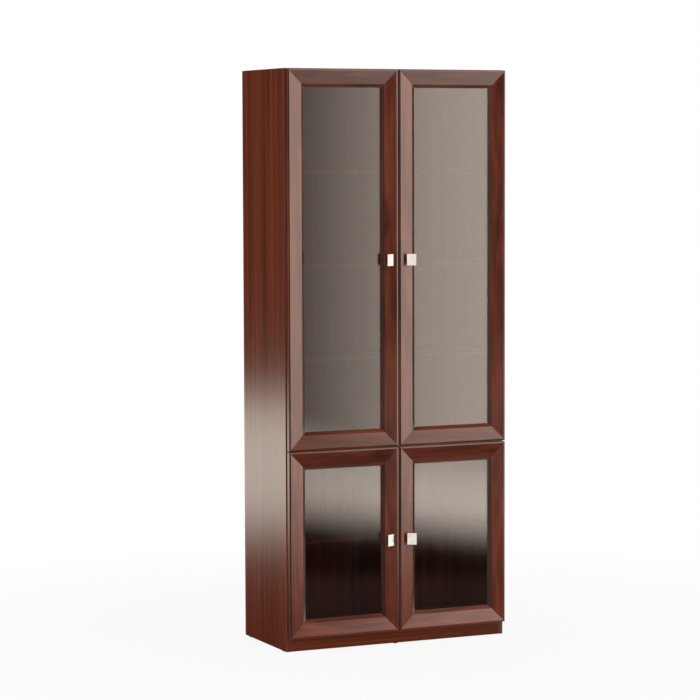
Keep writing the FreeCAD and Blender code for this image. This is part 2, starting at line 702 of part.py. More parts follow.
def knob_body(name, at, turn):
    """Knob with its head padded and rounded first, then its neck."""
    body = doc.addObject("PartDesign::Body", name)
    far = "Sizes.knob_edge + Sizes.knob_width"
    outline = polygon(
        body,
        f"{name}_head_outline",
        "XY_Plane",
        [
            ("Sizes.knob_edge", "-Sizes.knob_low"),
            (far, "-Sizes.knob_high"),
            (far, "Sizes.knob_plate - Sizes.knob_high"),
            ("Sizes.knob_edge", "Sizes.knob_plate - Sizes.knob_low"),
        ],
    )
    head = body.newObject("PartDesign::Pad", f"{name}_head")
    head.Profile = outline
    head.SideType = "Symmetric"
    head.setExpression("Length", "Sizes.knob_tall")
    doc.recompute()
    rounded = body.newObject("PartDesign::Fillet", f"{name}_rounded")
    rounded.Base = (head, edge_names(head.Shape, lambda point: True))
    rounded.setExpression("Radius", "Sizes.knob_round")
    doc.recompute()
    foot = polygon(
        body,
        f"{name}_neck_outline",
        "XY_Plane",
        [
            (NECK_NEAR, face_depth(NECK_NEAR)),
            (NECK_FAR, face_depth(NECK_FAR)),
            (NECK_FAR, head_middle(NECK_FAR)),
            (NECK_NEAR, head_middle(NECK_NEAR)),
        ],
    )
    neck = body.newObject("PartDesign::Pad", f"{name}_neck")
    neck.Profile = foot
    neck.SideType = "Symmetric"
    neck.setExpression("Length", "Sizes.neck_tall")
    body.Tip = neck
    return put(body, at, turn)


def mitre(body, name, corners):
    """Triangle cut right through the end of a frame piece."""
    triangle = polygon(body, f"{name}_triangle", "XZ_Plane", corners)
    pocket = body.newObject("PartDesign::Pocket", name)
    pocket.Profile = triangle
    pocket.Type = "ThroughAll"
    pocket.SideType = "Symmetric"
    return pocket


def frame_piece(name, length, at, turn):
    """Stile or rail: the profile along X for its length, its front arris rounded, its ends mitred."""
    body = doc.addObject("PartDesign::Body", name)
    profile = polygon(
        body,
        f"{name}_profile",
        "YZ_Plane",
        [
            ("Sizes.lip_drop", "0"),
            ("0", "Sizes.lip_width"),
            ("Sizes.face_drop", "Sizes.face_width"),
            ("Sizes.face_drop + Sizes.bevel_drop", "Sizes.frame_width"),
            (GLASS_SEAT, "Sizes.frame_width"),
            (GLASS_SEAT, REBATE),
            ("Sizes.door_thickness", REBATE),
            ("Sizes.door_thickness", "0"),
        ],
    )
    bar = body.newObject("PartDesign::Pad", f"{name}_bar")
    bar.Profile = profile
    bar.setExpression("Length", length)
    doc.recompute()
    arris = body.newObject("PartDesign::Fillet", f"{name}_arris")
    near, corner = sheet.edge_near, FreeCAD.Vector(0, sheet.lip_drop, 0)
    arris.Base = (bar, edge_names(bar.Shape, lambda point: point.distanceToLine(corner, X_AXIS) < near))
    arris.setExpression("Radius", "Sizes.edge_round")
    doc.recompute()
    reach = "Sizes.frame_width + Sizes.overrun"
    mitre(
        body,
        f"{name}_first_mitre",
        [("-Sizes.overrun", "-Sizes.overrun"), (reach, reach), ("-Sizes.overrun", reach)],
    )
    doc.recompute()
    past = f"{length} + Sizes.overrun"
    last = mitre(
        body,
        f"{name}_last_mitre",
        [(past, "-Sizes.overrun"), (past, reach), (f"{length} - ({reach})", reach)],
    )
    body.Tip = last
    return put(body, at, turn)


# Doors: four mitred frame pieces, the pane and its beads, the knob and the hinges
plates = []
arms = []


def glass_beads(name, left, bottom, width, tall):
    """Four beads behind the pane: two across, two between them."""
    depth = f"{DOOR_FRONT} + {GLASS_SEAT} + Sizes.glass_thickness"
    thickness = f"Sizes.door_thickness - {GLASS_SEAT} - Sizes.glass_thickness"
    low_x = f"{left} + {REBATE} + Sizes.bead_fit"
    high_x = f"{left} + {width} - {REBATE} - Sizes.bead_fit"
    low_z = f"{bottom} + {REBATE} + Sizes.bead_fit"
    high_z = f"{bottom} + {tall} - {REBATE} - Sizes.bead_fit"
    across = (f"({high_x}) - ({low_x})", thickness, "Sizes.bead_width")
    upright = ("Sizes.bead_width", thickness, f"({high_z}) - ({low_z}) - 2 * Sizes.bead_width")
    upright_low = f"{low_z} + Sizes.bead_width"
    beads = [
        block(f"{name}_bead_below", (low_x, depth, low_z), across),
        block(f"{name}_bead_above", (low_x, depth, f"{high_z} - Sizes.bead_width"), across),
        block(f"{name}_bead_left", (low_x, depth, upright_low), upright),
        block(f"{name}_bead_right", (f"{high_x} - Sizes.bead_width", depth, upright_low), upright),
    ]
    return bundle(f"{name}_bead_strips", beads)


def door(name, on_left, bottom, top, hinge_heights, knob_height):
    """One door with everything that swings with it, and the hinge arms and plates that stay behind."""
    tall = f"({top} - {bottom})"
    left = "(Sizes.side_reveal - Sizes.width / 2)" if on_left else "(Sizes.door_spacing / 2)"
    right = f"({left} + {DOOR_WIDTH})"
    left_name, right_name = ("hinge_stile", "lock_stile") if on_left else ("lock_stile", "hinge_stile")
    stiles = {
        left_name: frame_piece(f"{name}_left_stile", tall, (left, DOOR_FRONT, top), ALONG_X),
        right_name: frame_piece(f"{name}_right_stile", tall, (right, DOOR_FRONT, bottom), AGAINST_X),
    }
    top_rail = frame_piece(f"{name}_upper_rail", DOOR_WIDTH, (right, DOOR_FRONT, top), UPSIDE_DOWN)
    bottom_rail = frame_piece(f"{name}_lower_rail", DOOR_WIDTH, (left, DOOR_FRONT, bottom), ALONG_Z)

    hinge_edge = left if on_left else right
    free_edge = right if on_left else left
    away = "+" if on_left else "-"
    back = "-" if on_left else "+"
    hinge_turn = ALONG_Z if on_left else UPSIDE_DOWN
    knob_turn = UPSIDE_DOWN if on_left else ALONG_Z
    cup_x = f"{hinge_edge} {away} {CUP_CENTRE}"
    hinges = [((cup_x, DOOR_BACK, height), hinge_turn) for height in hinge_heights]
    screws = []
    for height in hinge_heights:
        for offset in FLANGE_SCREWS:
            screws.append(((cup_x, DOOR_BACK, f"{height} + {offset}"), ALONG_Z))
    knob_x = f"{free_edge} {back} {NECK_MIDDLE}"

    bores = [((x, f"{y} + Sizes.overrun", z), AGAINST_Y) for (x, y, z), turn in hinges]
    screw_bores = [((x, f"{y} + Sizes.overrun", z), AGAINST_Y) for (x, y, z), turn in screws]
    tools = copies(f"{name}_cup_bore", cup_bore, bores)
    tools += copies(f"{name}_cup_screw_bore", cup_screw_bore, screw_bores)
    keep(cut(f"{name}_bored_stile", stiles["hinge_stile"], tools), f"{name}_hinge_stile")

    knob_drill_at = ((knob_x, f"{DOOR_BACK} + Sizes.overrun", knob_height), AGAINST_Y)
    stile_drill = copies(f"{name}_stile_drill", knob_screw_bore, [knob_drill_at])
    keep(cut(f"{name}_drilled_stile", stiles["lock_stile"], stile_drill), f"{name}_lock_stile")
    keep(top_rail, f"{name}_top_rail")
    keep(bottom_rail, f"{name}_bottom_rail")

    inset = f"({REBATE} + Sizes.glass_fit)"
    pane = block(
        f"{name}_pane",
        (f"{left} + {inset}", f"{DOOR_FRONT} + {GLASS_SEAT}", f"{bottom} + {inset}"),
        (f"{DOOR_WIDTH} - 2 * {inset}", "Sizes.glass_thickness", f"{tall} - 2 * {inset}"),
    )
    keep(pane, f"{name}_glass")
    keep(glass_beads(name, left, bottom, DOOR_WIDTH, tall), f"{name}_glass_beads")

    solid_knob = knob_body(f"{name}_knob_body", (free_edge, DOOR_FRONT, knob_height), knob_turn)
    knob_drill = copies(f"{name}_knob_drill", knob_screw_bore, [knob_drill_at])
    keep(cut(f"{name}_drilled_knob", solid_knob, knob_drill), f"{name}_knob")

    keep(bundle(f"{name}_cups", copies(f"{name}_cup", cup, hinges)), f"{name}_hinge_cups")
    keep(bundle(f"{name}_axles", copies(f"{name}_axle", hinge_axle, hinges)), f"{name}_hinge_pins")
    screw_links = copies(f"{name}_cup_screw", cup_screw, screws)
    screw_links += copies(f"{name}_knob_screw", knob_screw, [((knob_x, DOOR_BACK, knob_height), ALONG_Z)])
    keep(bundle(f"{name}_screw_set", screw_links), f"{name}_screws")
    arms.extend(copies(f"{name}_arm", arm, hinges))
    plates.extend(copies(f"{name}_plate", plate, hinges))


hinge_axle = bundle("hinge_axle", [axle])
UPPER = ("(Sizes.middle_height + Sizes.door_spacing / 2)", "(Sizes.height - Sizes.top_reveal)")
LOWER = ("(Sizes.plinth_top + Sizes.bottom_reveal)", "(Sizes.middle_height - Sizes.door_spacing / 2)")
UPPER_HINGES = [
    f"{UPPER[0]} + Sizes.hinge_end",
    f"({UPPER_SHELF_UNDERS[-2]} + {UPPER_SHELF_UNDERS[-1]}) / 2 + {HALF_BOARD}",
    f"{UPPER[1]} - Sizes.hinge_end",
]
LOWER_HINGES = [f"{LOWER[0]} + Sizes.hinge_end", f"{LOWER[1]} - Sizes.hinge_end"]
UPPER_KNOB = f"(({UPPER[0]} + {UPPER[1]}) / 2 - Sizes.upper_knob_drop)"
LOWER_KNOB = f"(({LOWER[0]} + {LOWER[1]}) / 2)"
door("upper_left", True, *UPPER, UPPER_HINGES, UPPER_KNOB)
door("upper_right", False, *UPPER, UPPER_HINGES, UPPER_KNOB)
door("lower_left", True, *LOWER, LOWER_HINGES, LOWER_KNOB)
door("lower_right", False, *LOWER, LOWER_HINGES, LOWER_KNOB)
keep(bundle("all_arms", arms), "hinge_arms")
keep(bundle("all_plates", plates), "hinge_plates")

# Everything is checked before anything is written
doc.recompute()
for thing in doc.Objects:
    if "Invalid" in thing.State or "Error" in thing.State:
        raise RuntimeError(f"{thing.Label} is {thing.State}")
for thing in nodes:
    if thing.Shape.isNull() or not thing.Shape.isValid():
        raise RuntimeError(f"{thing.Label} has no sound shape")
os.makedirs("parts", exist_ok=True)
for thing in nodes:
    thing.Shape.exportStep(f"parts/{thing.Label}.step")
print(len(nodes), "nodes written")
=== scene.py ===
"""Looks of a tall display cabinet: lacquered wood, smoked panes, chrome knobs and steel fittings.

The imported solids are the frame. Boards, door pieces and fittings get eased edges and procedural
finishes, fasteners get their cross recesses from a geometry nodes tree, and a white studio stands
round the cabinet.
"""

import json
import logging
import math
from collections.abc import Mapping, Sequence
from dataclasses import dataclass, fields, replace
from enum import Enum
from functools import cache

import bmesh
import bpy
from mathutils import Matrix, Vector

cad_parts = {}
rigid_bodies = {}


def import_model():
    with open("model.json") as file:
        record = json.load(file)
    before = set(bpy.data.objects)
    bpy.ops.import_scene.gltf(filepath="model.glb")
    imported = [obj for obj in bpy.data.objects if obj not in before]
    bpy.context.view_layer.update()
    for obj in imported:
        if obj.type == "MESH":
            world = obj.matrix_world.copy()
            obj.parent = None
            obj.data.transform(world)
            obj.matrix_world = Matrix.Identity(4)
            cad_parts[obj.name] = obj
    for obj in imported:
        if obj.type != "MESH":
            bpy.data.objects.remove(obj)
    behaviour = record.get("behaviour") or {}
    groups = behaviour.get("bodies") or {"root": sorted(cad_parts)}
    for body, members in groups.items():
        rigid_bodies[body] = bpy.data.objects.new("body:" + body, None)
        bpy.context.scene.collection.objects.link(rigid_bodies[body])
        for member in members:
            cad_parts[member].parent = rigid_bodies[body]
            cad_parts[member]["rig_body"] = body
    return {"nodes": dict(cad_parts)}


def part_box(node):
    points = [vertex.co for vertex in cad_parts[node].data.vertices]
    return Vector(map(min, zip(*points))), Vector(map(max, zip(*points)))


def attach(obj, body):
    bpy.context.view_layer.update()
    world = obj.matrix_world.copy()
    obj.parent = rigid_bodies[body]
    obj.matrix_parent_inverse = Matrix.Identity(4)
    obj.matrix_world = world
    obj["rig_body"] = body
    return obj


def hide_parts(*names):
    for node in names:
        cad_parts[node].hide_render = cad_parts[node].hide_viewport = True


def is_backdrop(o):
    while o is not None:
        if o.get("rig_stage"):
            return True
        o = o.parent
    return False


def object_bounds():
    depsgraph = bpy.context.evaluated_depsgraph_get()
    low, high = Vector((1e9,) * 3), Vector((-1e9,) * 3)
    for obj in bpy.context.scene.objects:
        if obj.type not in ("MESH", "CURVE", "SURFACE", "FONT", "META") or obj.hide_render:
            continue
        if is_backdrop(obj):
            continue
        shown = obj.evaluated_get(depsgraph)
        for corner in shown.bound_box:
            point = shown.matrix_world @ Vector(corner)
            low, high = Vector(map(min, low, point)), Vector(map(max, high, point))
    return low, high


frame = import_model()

log = logging.getLogger("display_cabinet")

Node = bpy.types.Node
Socket = bpy.types.NodeSocket
Material = bpy.types.Material
Piece = bpy.types.Object
Shape = bmesh.types.BMesh
Inputs = Mapping[str, object]
Colour = tuple[float, float, float]
Box = tuple[Vector, Vector]
Seat = tuple[Vector, Vector]

MM = 0.001
WELD = 0.001 * MM
PLACES = 5
FLAT_ANGLE = math.radians(0.5)
SHARP_ANGLE = math.radians(40)
NOISE_SPAN = (0.3, 0.7)
BAND_STOPS = (0.3, 0.5, 0.72)
PORE_SPAN = (0.58, 0.72)
PORE_RELIEF = (0.12, 0.1 * MM)
SPOT_DEPTH = 0.05 * MM
SMOKE_LIFT = 1.5
FLAT_FACE_WEIGHT = 100
BLACK = (0, 0, 0, 1)
WHITE = (1, 1, 1, 1)
UP = Vector((0, 0, 1))
RIGHT = Vector((1, 0, 0))
REARWARD = Vector((0, 1, 0))


def linear(code: str) -> Colour:
    """Turn an sRGB code of six hexadecimal digits into a linear colour."""
    shares = [int(code[start : start + 2], 16) / 255 for start in (0, 2, 4)]
    return tuple(s / 12.92 if s <= 0.04045 else ((s + 0.055) / 1.055) ** 2.4 for s in shares)


def scaled(colour: Colour, share: float) -> Colour:
    """Make a colour lighter or darker."""
    return tuple(share * part for part in colour)


def opaque(colour: Colour) -> tuple[float, float, float, float]:
    """Add a full alpha to a colour."""
    return (*colour, 1.0)


@dataclass(frozen=True)
class Graph:
    """Shorthand for filling one node tree.

    Attributes:
        tree: the node tree that is filled.
    """

    tree: bpy.types.NodeTree

    def add(self, kind: str, inputs: Inputs | None = None, **options: object) -> Node:
        """Add a node, set its options and fill its inputs.

        Args:
            kind: Blender's name of the node type.
            inputs: a value or a socket for each input, by identifier or by name.
            options: node options by name.

        Returns:
            The new node.
        """
        node = self.tree.nodes.new(kind)
        for name, value in options.items():
            setattr(node, name, value)
        self.fill(node, inputs or {})
        return node

    def fill(self, node: Node, inputs: Inputs) -> None:
        """Fill inputs of a node.

        Args:
            node: the node.
            inputs: a value or a socket for each input, by identifier or by name.
        """
        sockets = {socket.identifier: socket for socket in node.inputs}
        for name, value in inputs.items():
            socket = sockets.get(name) or node.inputs[name]
            if isinstance(value, Socket):
                self.tree.links.new(value, socket)
            else:
                socket.default_value = value

    def math(self, operation: str, first: object, second: object = 0.0) -> Socket:
        """Work out one sum of two values or sockets."""
        inputs = {"Value": first, "Value_001": second}
        return self.add("ShaderNodeMath", inputs, operation=operation).outputs["Value"]

    def bump(self, height: Socket, strength: float, depth: float) -> Socket:
        """Turn a noise into a faint relief."""
        inputs = {"Height": height, "Strength": strength, "Distance": depth}
        return self.add("ShaderNodeBump", inputs).outputs["Normal"]

    def mix(self, share: Socket, first: Node, second: Node) -> Node:
        """Mix the shaders of two nodes."""
        inputs = {"Fac": share, "Shader": first.outputs[0], "Shader_001": second.outputs[0]}
        return self.add("ShaderNodeMixShader", inputs)

    def remap(
        self, value: Socket, span: Sequence[float], to: Sequence[float], soft: bool = False
    ) -> Socket:
        """Map a value from one span to another, held at both ends.

        Args:
            value: the socket to map.
            span: the value's low and high end.
            to: the result at each end.
            soft: whether the change eases in and out.

        Returns:
            The result's socket.
        """
        inputs = {"Value": value, "From Min": span[0], "From Max": span[1]}
        inputs |= {"To Min": to[0], "To Max": to[1]}
        kind = "SMOOTHSTEP" if soft else "LINEAR"
        return self.add("ShaderNodeMapRange", inputs, interpolation_type=kind).outputs["Result"]

    def blend(self, share: object, first: object, second: object, how: str = "MIX") -> Socket:
        """Blend two colours.

        Args:
            share: value or socket, how far to go to the second colour.
            first: colour or socket.
            second: colour or socket.
            how: Blender's name of the blend.

        Returns:
            The blended colour's socket.
        """
        inputs = {"Factor_Float": share, "A_Color": first, "B_Color": second}
        node = self.add("ShaderNodeMix", inputs, data_type="RGBA", blend_type=how)
        return next(socket for socket in node.outputs if socket.identifier == "Result_Color")


class Grain(Enum):
    """Way that the grain of a wood piece runs: the axis it follows."""

    ACROSS = 0
    UPRIGHT = 2


@dataclass(frozen=True)
class Streaks:
    """One layer of grain, a noise drawn out along the wood.

    Attributes:
        across: changes in a metre over the grain.
        along: changes in a metre with the grain.
        detail: layers of finer noise.
        wander: how far the streaks stray.
    """

    across: float
    along: float
    detail: float
    wander: float = 0.0

    def draw(self, graph: Graph, grain: Grain) -> Socket:
        """Draw the streaks.

        Args:
            graph: the finish's nodes.
            grain: way that the grain runs.

        Returns:
            The noise's socket.
        """
        scale = [self.across] * 3
        scale[grain.value] = self.along
        place = graph.add("ShaderNodeTexCoord").outputs["Object"]
        drawn_out = graph.add("ShaderNodeMapping", {"Vector": place, "Scale": scale})
        inputs = {
            "Vector": drawn_out.outputs["Vector"],
            "Scale": 1.0,
            "Detail": self.detail,
            "Distortion": self.wander,
        }
        return graph.add("ShaderNodeTexNoise", inputs).outputs["Fac"]


class Finish:
    """Anything that one material is made from."""

    name: str

    def inputs(self, graph: Graph) -> Inputs:
        """Give a value or a socket for each input of the surface."""
        raise NotImplementedError


@cache
def material_of(finish: Finish) -> Material:
    """Give the material of a finish, made on first use.

    Args:
        finish: the finish.

    Returns:
        Its material.
    """
    material = bpy.data.materials.new(finish.name)
    material.use_nodes = True
    graph = Graph(material.node_tree)
    graph.fill(graph.tree.nodes["Principled BSDF"], finish.inputs(graph))
    return material


@dataclass(frozen=True)
class WoodFinish(Finish):
    """Stained wood under a satin lacquer.

    Attributes:
        name: the material's name.
        grain: way that the grain runs.
        tones: dark, middle and light stain.
        figure: broad bands of the wood.
        fibre: finer streaks.
        pores: short dark lines.
        fibre_shade: brightness of the darkest and of the lightest fibres.
        pore_depth: how dark the pores are, from 0 to 1.
        gloss: roughness of the smoothest and of the roughest streaks.
        lacquer: weight, roughness and refraction of the lacquer.
    """

    name: str
    grain: Grain
    tones: tuple[Colour, Colour, Colour]
    figure: Streaks
    fibre: Streaks
    pores: Streaks
    fibre_shade: tuple[float, float]
    pore_depth: float
    gloss: tuple[float, float]
    lacquer: tuple[float, float, float]

    def inputs(self, graph: Graph) -> Inputs:
        """Draw the grain.

        Args:
            graph: the material's nodes.

        Returns:
            A value or a socket for each input of the surface.
        """
        bands = graph.add("ShaderNodeValToRGB", {"Fac": self.figure.draw(graph, self.grain)})
        stops = bands.color_ramp.elements
        stops.new(BAND_STOPS[1])
        for stop, place, tone in zip(stops, BAND_STOPS, self.tones):
            stop.position = place
            stop.color = opaque(tone)
        fibre = self.fibre.draw(graph, self.grain)
        shade = graph.remap(fibre, NOISE_SPAN, self.fibre_shade)
        shaded = graph.blend(1.0, bands.outputs["Color"], shade, "MULTIPLY")
        pores = graph.remap(self.pores.draw(graph, self.grain), PORE_SPAN, (0.0, self.pore_depth))
        weight, roughness, refraction = self.lacquer
        return {
            "Base Color": graph.blend(pores, shaded, opaque(self.tones[0])),
            "Roughness": graph.remap(fibre, NOISE_SPAN, self.gloss),
            "Normal": graph.bump(pores, *PORE_RELIEF),
            "Specular IOR Level": 0.0,
            "Coat Weight": weight,
            "Coat Roughness": roughness,
            "Coat IOR": refraction,
        }


@dataclass(frozen=True)
class PaneFinish(Finish):
    """Smoked glass with a mirror sheen.

    Attributes:
        name: the material's name.
        smoke: colour of the glass itself.
        cover: share of what is behind that one face hides.
        refraction: how strongly a face mirrors what is in front of it.
        wipe: roughness of the cleanest and of the most wiped spots.
        smears: faint marks of wiping.
    """

    name: str
    smoke: Colour
    cover: float
    refraction: float
    wipe: tuple[float, float]
    smears: Streaks = Streaks(across=9.0, along=2.5, detail=3.0, wander=0.6)

    def inputs(self, graph: Graph) -> Inputs:
        """Draw the marks of wiping.

        Args:
            graph: the material's nodes.

        Returns:
            A value or a socket for each input of the surface.
        """
        smears = self.smears.draw(graph, Grain.UPRIGHT)
        lighter = scaled(self.smoke, SMOKE_LIFT)
        return {
            "Base Color": graph.blend(smears, opaque(self.smoke), opaque(lighter)),
            "Roughness": graph.remap(smears, NOISE_SPAN, self.wipe),
            "Alpha": self.cover,
            "IOR": self.refraction,
            "Specular IOR Level": 1.0,
        }


@dataclass(frozen=True)
class SpottedFinish(Finish):
    """Plastic or rubber with a fine spotted skin.

    Attributes:
        name: the material's name.
        tone: colour of the piece.
        gloss: roughness of the smoothest and of the roughest spots.
        texture: scale and strength of its faint relief.
        detail: layers of finer spots.
        wear: brightness of the most worn spots.
        metallic: 1 for metal, 0 for anything else.
    """

    name: str
    tone: Colour
    gloss: tuple[float, float]
    texture: tuple[float, float]
    detail: float = 2.0
    wear: float = 0.8
    metallic: float = 0.0

    def inputs(self, graph: Graph) -> Inputs:
        """Draw the spots.

        Args:
            graph: the material's nodes.

        Returns:
            A value or a socket for each input of the surface.
        """
        scale, strength = self.texture
        spots = Streaks(across=scale, along=scale, detail=self.detail).draw(graph, Grain.UPRIGHT)
        worn = scaled(self.tone, self.wear)
        return {
            "Base Color": graph.blend(spots, opaque(self.tone), opaque(worn)),
            "Roughness": graph.remap(spots, NOISE_SPAN, self.gloss),
            "Normal": graph.bump(spots, strength, SPOT_DEPTH),
            "Metallic": self.metallic,
        }


@dataclass(frozen=True)
class MetalFinish(SpottedFinish):
    """Plated or cast metal with spots of the same kind."""

    detail: float = 4.0
    wear: float = 0.86
    metallic: float = 1.0


def veneer(grain: Grain, refraction: float = 2.6) -> WoodFinish:
    """Striped veneer of the carcass boards.

    Args:
        grain: way that the grain runs.
        refraction: how strongly its lacquer mirrors.

    Returns:
        The finish.
    """
    return WoodFinish(
        name=f"striped_veneer_{grain.name.lower()}_{refraction:.1f}",
        grain=grain,
        tones=(linear("602817"), linear("763620"), linear("8B442B")),
        figure=Streaks(across=44.0, along=0.6, detail=4.0, wander=0.3),
        fibre=Streaks(across=230.0, along=2.0, detail=3.0),
        pores=Streaks(across=900.0, along=22.0, detail=2.0),
        fibre_shade=(0.76, 1.22),
        pore_depth=0.5,
        gloss=(0.30, 0.42),
        lacquer=(1.0, 0.11, refraction),
    )


def frame_stain(grain: Grain, lightness: float) -> WoodFinish:
    """Calmer stained wood of the door frames.

    Args:
        grain: way that the grain runs.
        lightness: painted light and shade, how much lighter or darker the bar is drawn than the
            stain.

    Returns:
        The finish.
    """
    tones = (linear("491F14"), linear("602C1E"), linear("753B2A"))
    return WoodFinish(
        name=f"stained_frame_{grain.name.lower()}_{lightness:.2f}",
        grain=grain,
        tones=tuple(scaled(tone, lightness) for tone in tones),
        figure=Streaks(across=20.0, along=3.5, detail=3.0, wander=0.5),
        fibre=Streaks(across=150.0, along=4.0, detail=3.0),
        pores=Streaks(across=800.0, along=26.0, detail=2.0),
        fibre_shade=(0.78, 1.2),
        pore_depth=0.4,
        gloss=(0.30, 0.40),
        lacquer=(1.0, 0.12, 2.0),
    )


# Painted shade: a darker copy of the frame stain for the stiles' inner bevels and lips, where shade
# falls. The wood there has the same colour.
EDGE_PAINTED_SHADE = replace(
    frame_stain(Grain.UPRIGHT, 1.0),
    name="edge_stain",
    tones=(linear("3D2017"), linear("49281D"), linear("563124")),
)
BACK_SHEET = WoodFinish(
    name="laminated_back_sheet",
    grain=Grain.UPRIGHT,
    tones=(linear("7A3A26"), linear("8F4B2E"), linear("A35C3B")),
    figure=Streaks(across=20.0, along=0.9, detail=3.0, wander=0.4),
    fibre=Streaks(across=140.0, along=2.5, detail=2.0),
    pores=Streaks(across=700.0, along=20.0, detail=2.0),
    fibre_shade=(0.86, 1.12),
    pore_depth=0.3,
    gloss=(0.5, 0.6),
    lacquer=(0.2, 0.4, 1.5),
)
SHELF_STAIN = WoodFinish(
    name="shelf_stain",
    grain=Grain.ACROSS,
    tones=(linear("4A2015"), linear("5C2A1B"), linear("6B3422")),
    figure=Streaks(across=30.0, along=0.8, detail=3.0, wander=0.4),
    fibre=Streaks(across=180.0, along=2.5, detail=3.0),
    pores=Streaks(across=800.0, along=24.0, detail=2.0),
    fibre_shade=(0.85, 1.15),
    pore_depth=0.3,
    gloss=(0.35, 0.45),
    lacquer=(0.3, 0.3, 1.5),
)
SMOKED_PANE = PaneFinish("smoked_pane", linear("1C0F0A"), 0.34, 2.95, (0.02, 0.035))
POLISHED_CHROME = MetalFinish("polished_chrome", linear("F2F0EE"), (0.07, 0.14), (60.0, 0.02))
# Painted shade: dark chrome on the knob's ends stands in for the shade beside and under its head.
PAINTED_SHADE_CHROME = MetalFinish("dark_chrome", linear("35302B"), (0.22, 0.32), (200.0, 0.04))
NICKEL_PLATE = MetalFinish("nickel_plate", linear("C9C6C0"), (0.22, 0.34), (420.0, 0.08))
ZINC_PLATE = MetalFinish("zinc_plate", linear("BDBCB6"), (0.28, 0.42), (300.0, 0.1))
CAST_ZINC = MetalFinish("cast_zinc", linear("A9A8A4"), (0.42, 0.56), (900.0, 0.25))
DARK_STRIP = SpottedFinish("dark_strip", linear("2B1710"), (0.42, 0.55), (1500.0, 0.2))
BLACK_GLIDE = SpottedFinish("black_glide", linear("1B1919"), (0.45, 0.6), (1200.0, 0.2))
SOFT_DOT = SpottedFinish("soft_dot", linear("C9C6BF"), (0.3, 0.45), (800.0, 0.2))


def body_of(node: str) -> str:
    """Give the body that a node moves with."""
    return frame["nodes"][node]["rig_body"]


def linked(name: str, data: bpy.types.ID) -> Piece:
    """Make an object and link it to the scene.

    Args:
        name: its name.
        data: its mesh, lamp or camera data.

    Returns:
        The object.
    """
    piece = bpy.data.objects.new(name, data)
    bpy.context.scene.collection.objects.link(piece)
    return piece


def baked(maker: Piece, name: str) -> Piece:
    """Turn an object with modifiers into a plain mesh object and remove the maker.

    Args:
        maker: object whose modifiers make the shape.
        name: name of the plain object.

    Returns:
        The plain object, at the origin.
    """
    bpy.context.view_layer.update()
    evaluated = maker.evaluated_get(bpy.context.evaluated_depsgraph_get())
    mesh = bpy.data.meshes.new_from_object(evaluated)
    mesh.name = name
    bpy.data.objects.remove(maker)
    return linked(name, mesh)


def welded(node: str) -> Shape:
    """Copy a node's loose triangles into one joined shape with whole flat faces.

    Args:
        node: the node's name.

    Returns:
        The joined shape, for the caller to free.
    """
    shape = bmesh.new()
    shape.from_mesh(frame["nodes"][node].data)
    bmesh.ops.remove_doubles(shape, verts=shape.verts, dist=WELD)
    bmesh.ops.dissolve_limit(shape, angle_limit=FLAT_ANGLE, verts=shape.verts, edges=shape.edges)
    return shape


def solids_of(node: str) -> list[Box]:
    """Find the separate solids in a node.

    Args:
        node: the node's name.

    Returns:
        Lowest and highest corner of each solid, from the floor up.
    """
    shape = welded(node)
    boxes = []
    waiting = set(shape.verts)
    while waiting:
        found = [waiting.pop()]
        for vertex in found:
            for edge in vertex.link_edges:
                other = edge.other_vert(vertex)
                if other in waiting:
                    waiting.remove(other)
                    found.append(other)
        low = Vector([min(vertex.co[axis] for vertex in found) for axis in range(3)])
        high = Vector([max(vertex.co[axis] for vertex in found) for axis in range(3)])
        boxes.append((low, high))
    shape.free()
    return sorted(boxes, key=lambda box: [round(box[0][axis], PLACES) for axis in (2, 0, 1)])


@dataclass(frozen=True)
class Ease:
    """Small rounding of the long outer edges of a piece.

    Attributes:
        width: how far the rounding reaches from the edge.
        steps: faces across the rounding.
        shortest: edges shorter than this stay sharp.
        crease: edges that turn by less than this count as smooth.
    """

    width: float
    steps: int
    shortest: float
    crease: float = SHARP_ANGLE

    def apply(self, shape: Shape) -> None:
        """Round the edges of a shape.

        Args:
            shape: the joined shape.
        """
        chosen = [
            edge
            for edge in shape.edges
            if edge.is_manifold
            and edge.is_convex
            and edge.calc_length() >= self.shortest
            and edge.calc_face_angle() > self.crease
        ]
        bmesh.ops.bevel(
            shape,
            geom=chosen,
            offset=self.width,
            offset_type="OFFSET",
            segments=self.steps,
            profile=0.5,
            affect="EDGES",
            clamp_overlap=True,
        )


BOARD_EASE = Ease(0.8 * MM, 3, 12 * MM)
SHEET_EASE = Ease(0.3 * MM, 2, 12 * MM)
FRAME_EASE = Ease(0.35 * MM, 5, 4 * MM, math.radians(16))
BEAD_EASE = Ease(0.9 * MM, 3, 2 * MM)
FITTING_EASE = Ease(0.5 * MM, 3, 2.5 * MM)
FINE_EASE = Ease(0.25 * MM, 2, 6 * MM)
DOT_EASE = Ease(1.1 * MM, 4, 0.0)
NO_EASE = Ease(0.0, 1, math.inf)


def dress(node: str, finish: Finish) -> None:
    """Keep a node's own shape and give it a finish.

    Args:
        node: the node's name.
        finish: its finish.
    """
    mesh = frame["nodes"][node].data
    mesh.materials.clear()
    mesh.materials.append(material_of(finish))
    log.info("%s keeps its shape, in %s", node, finish.name)


def settle(piece: Piece, node: str, finish: Finish | None = None) -> Piece:
    """Put a finished piece in the place of a node.

    Args:
        piece: the piece, at the origin.
        node: the node that it stands for.
        finish: its finish, unless its mesh already has one.

    Returns:
        The piece.
    """
    if finish is not None:
        piece.data.materials.clear()
        piece.data.materials.append(material_of(finish))
    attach(piece, body_of(node))
    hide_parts(node)
    log.info("%s stands for %s, %d faces", piece.name, node, len(piece.data.polygons))
    return piece


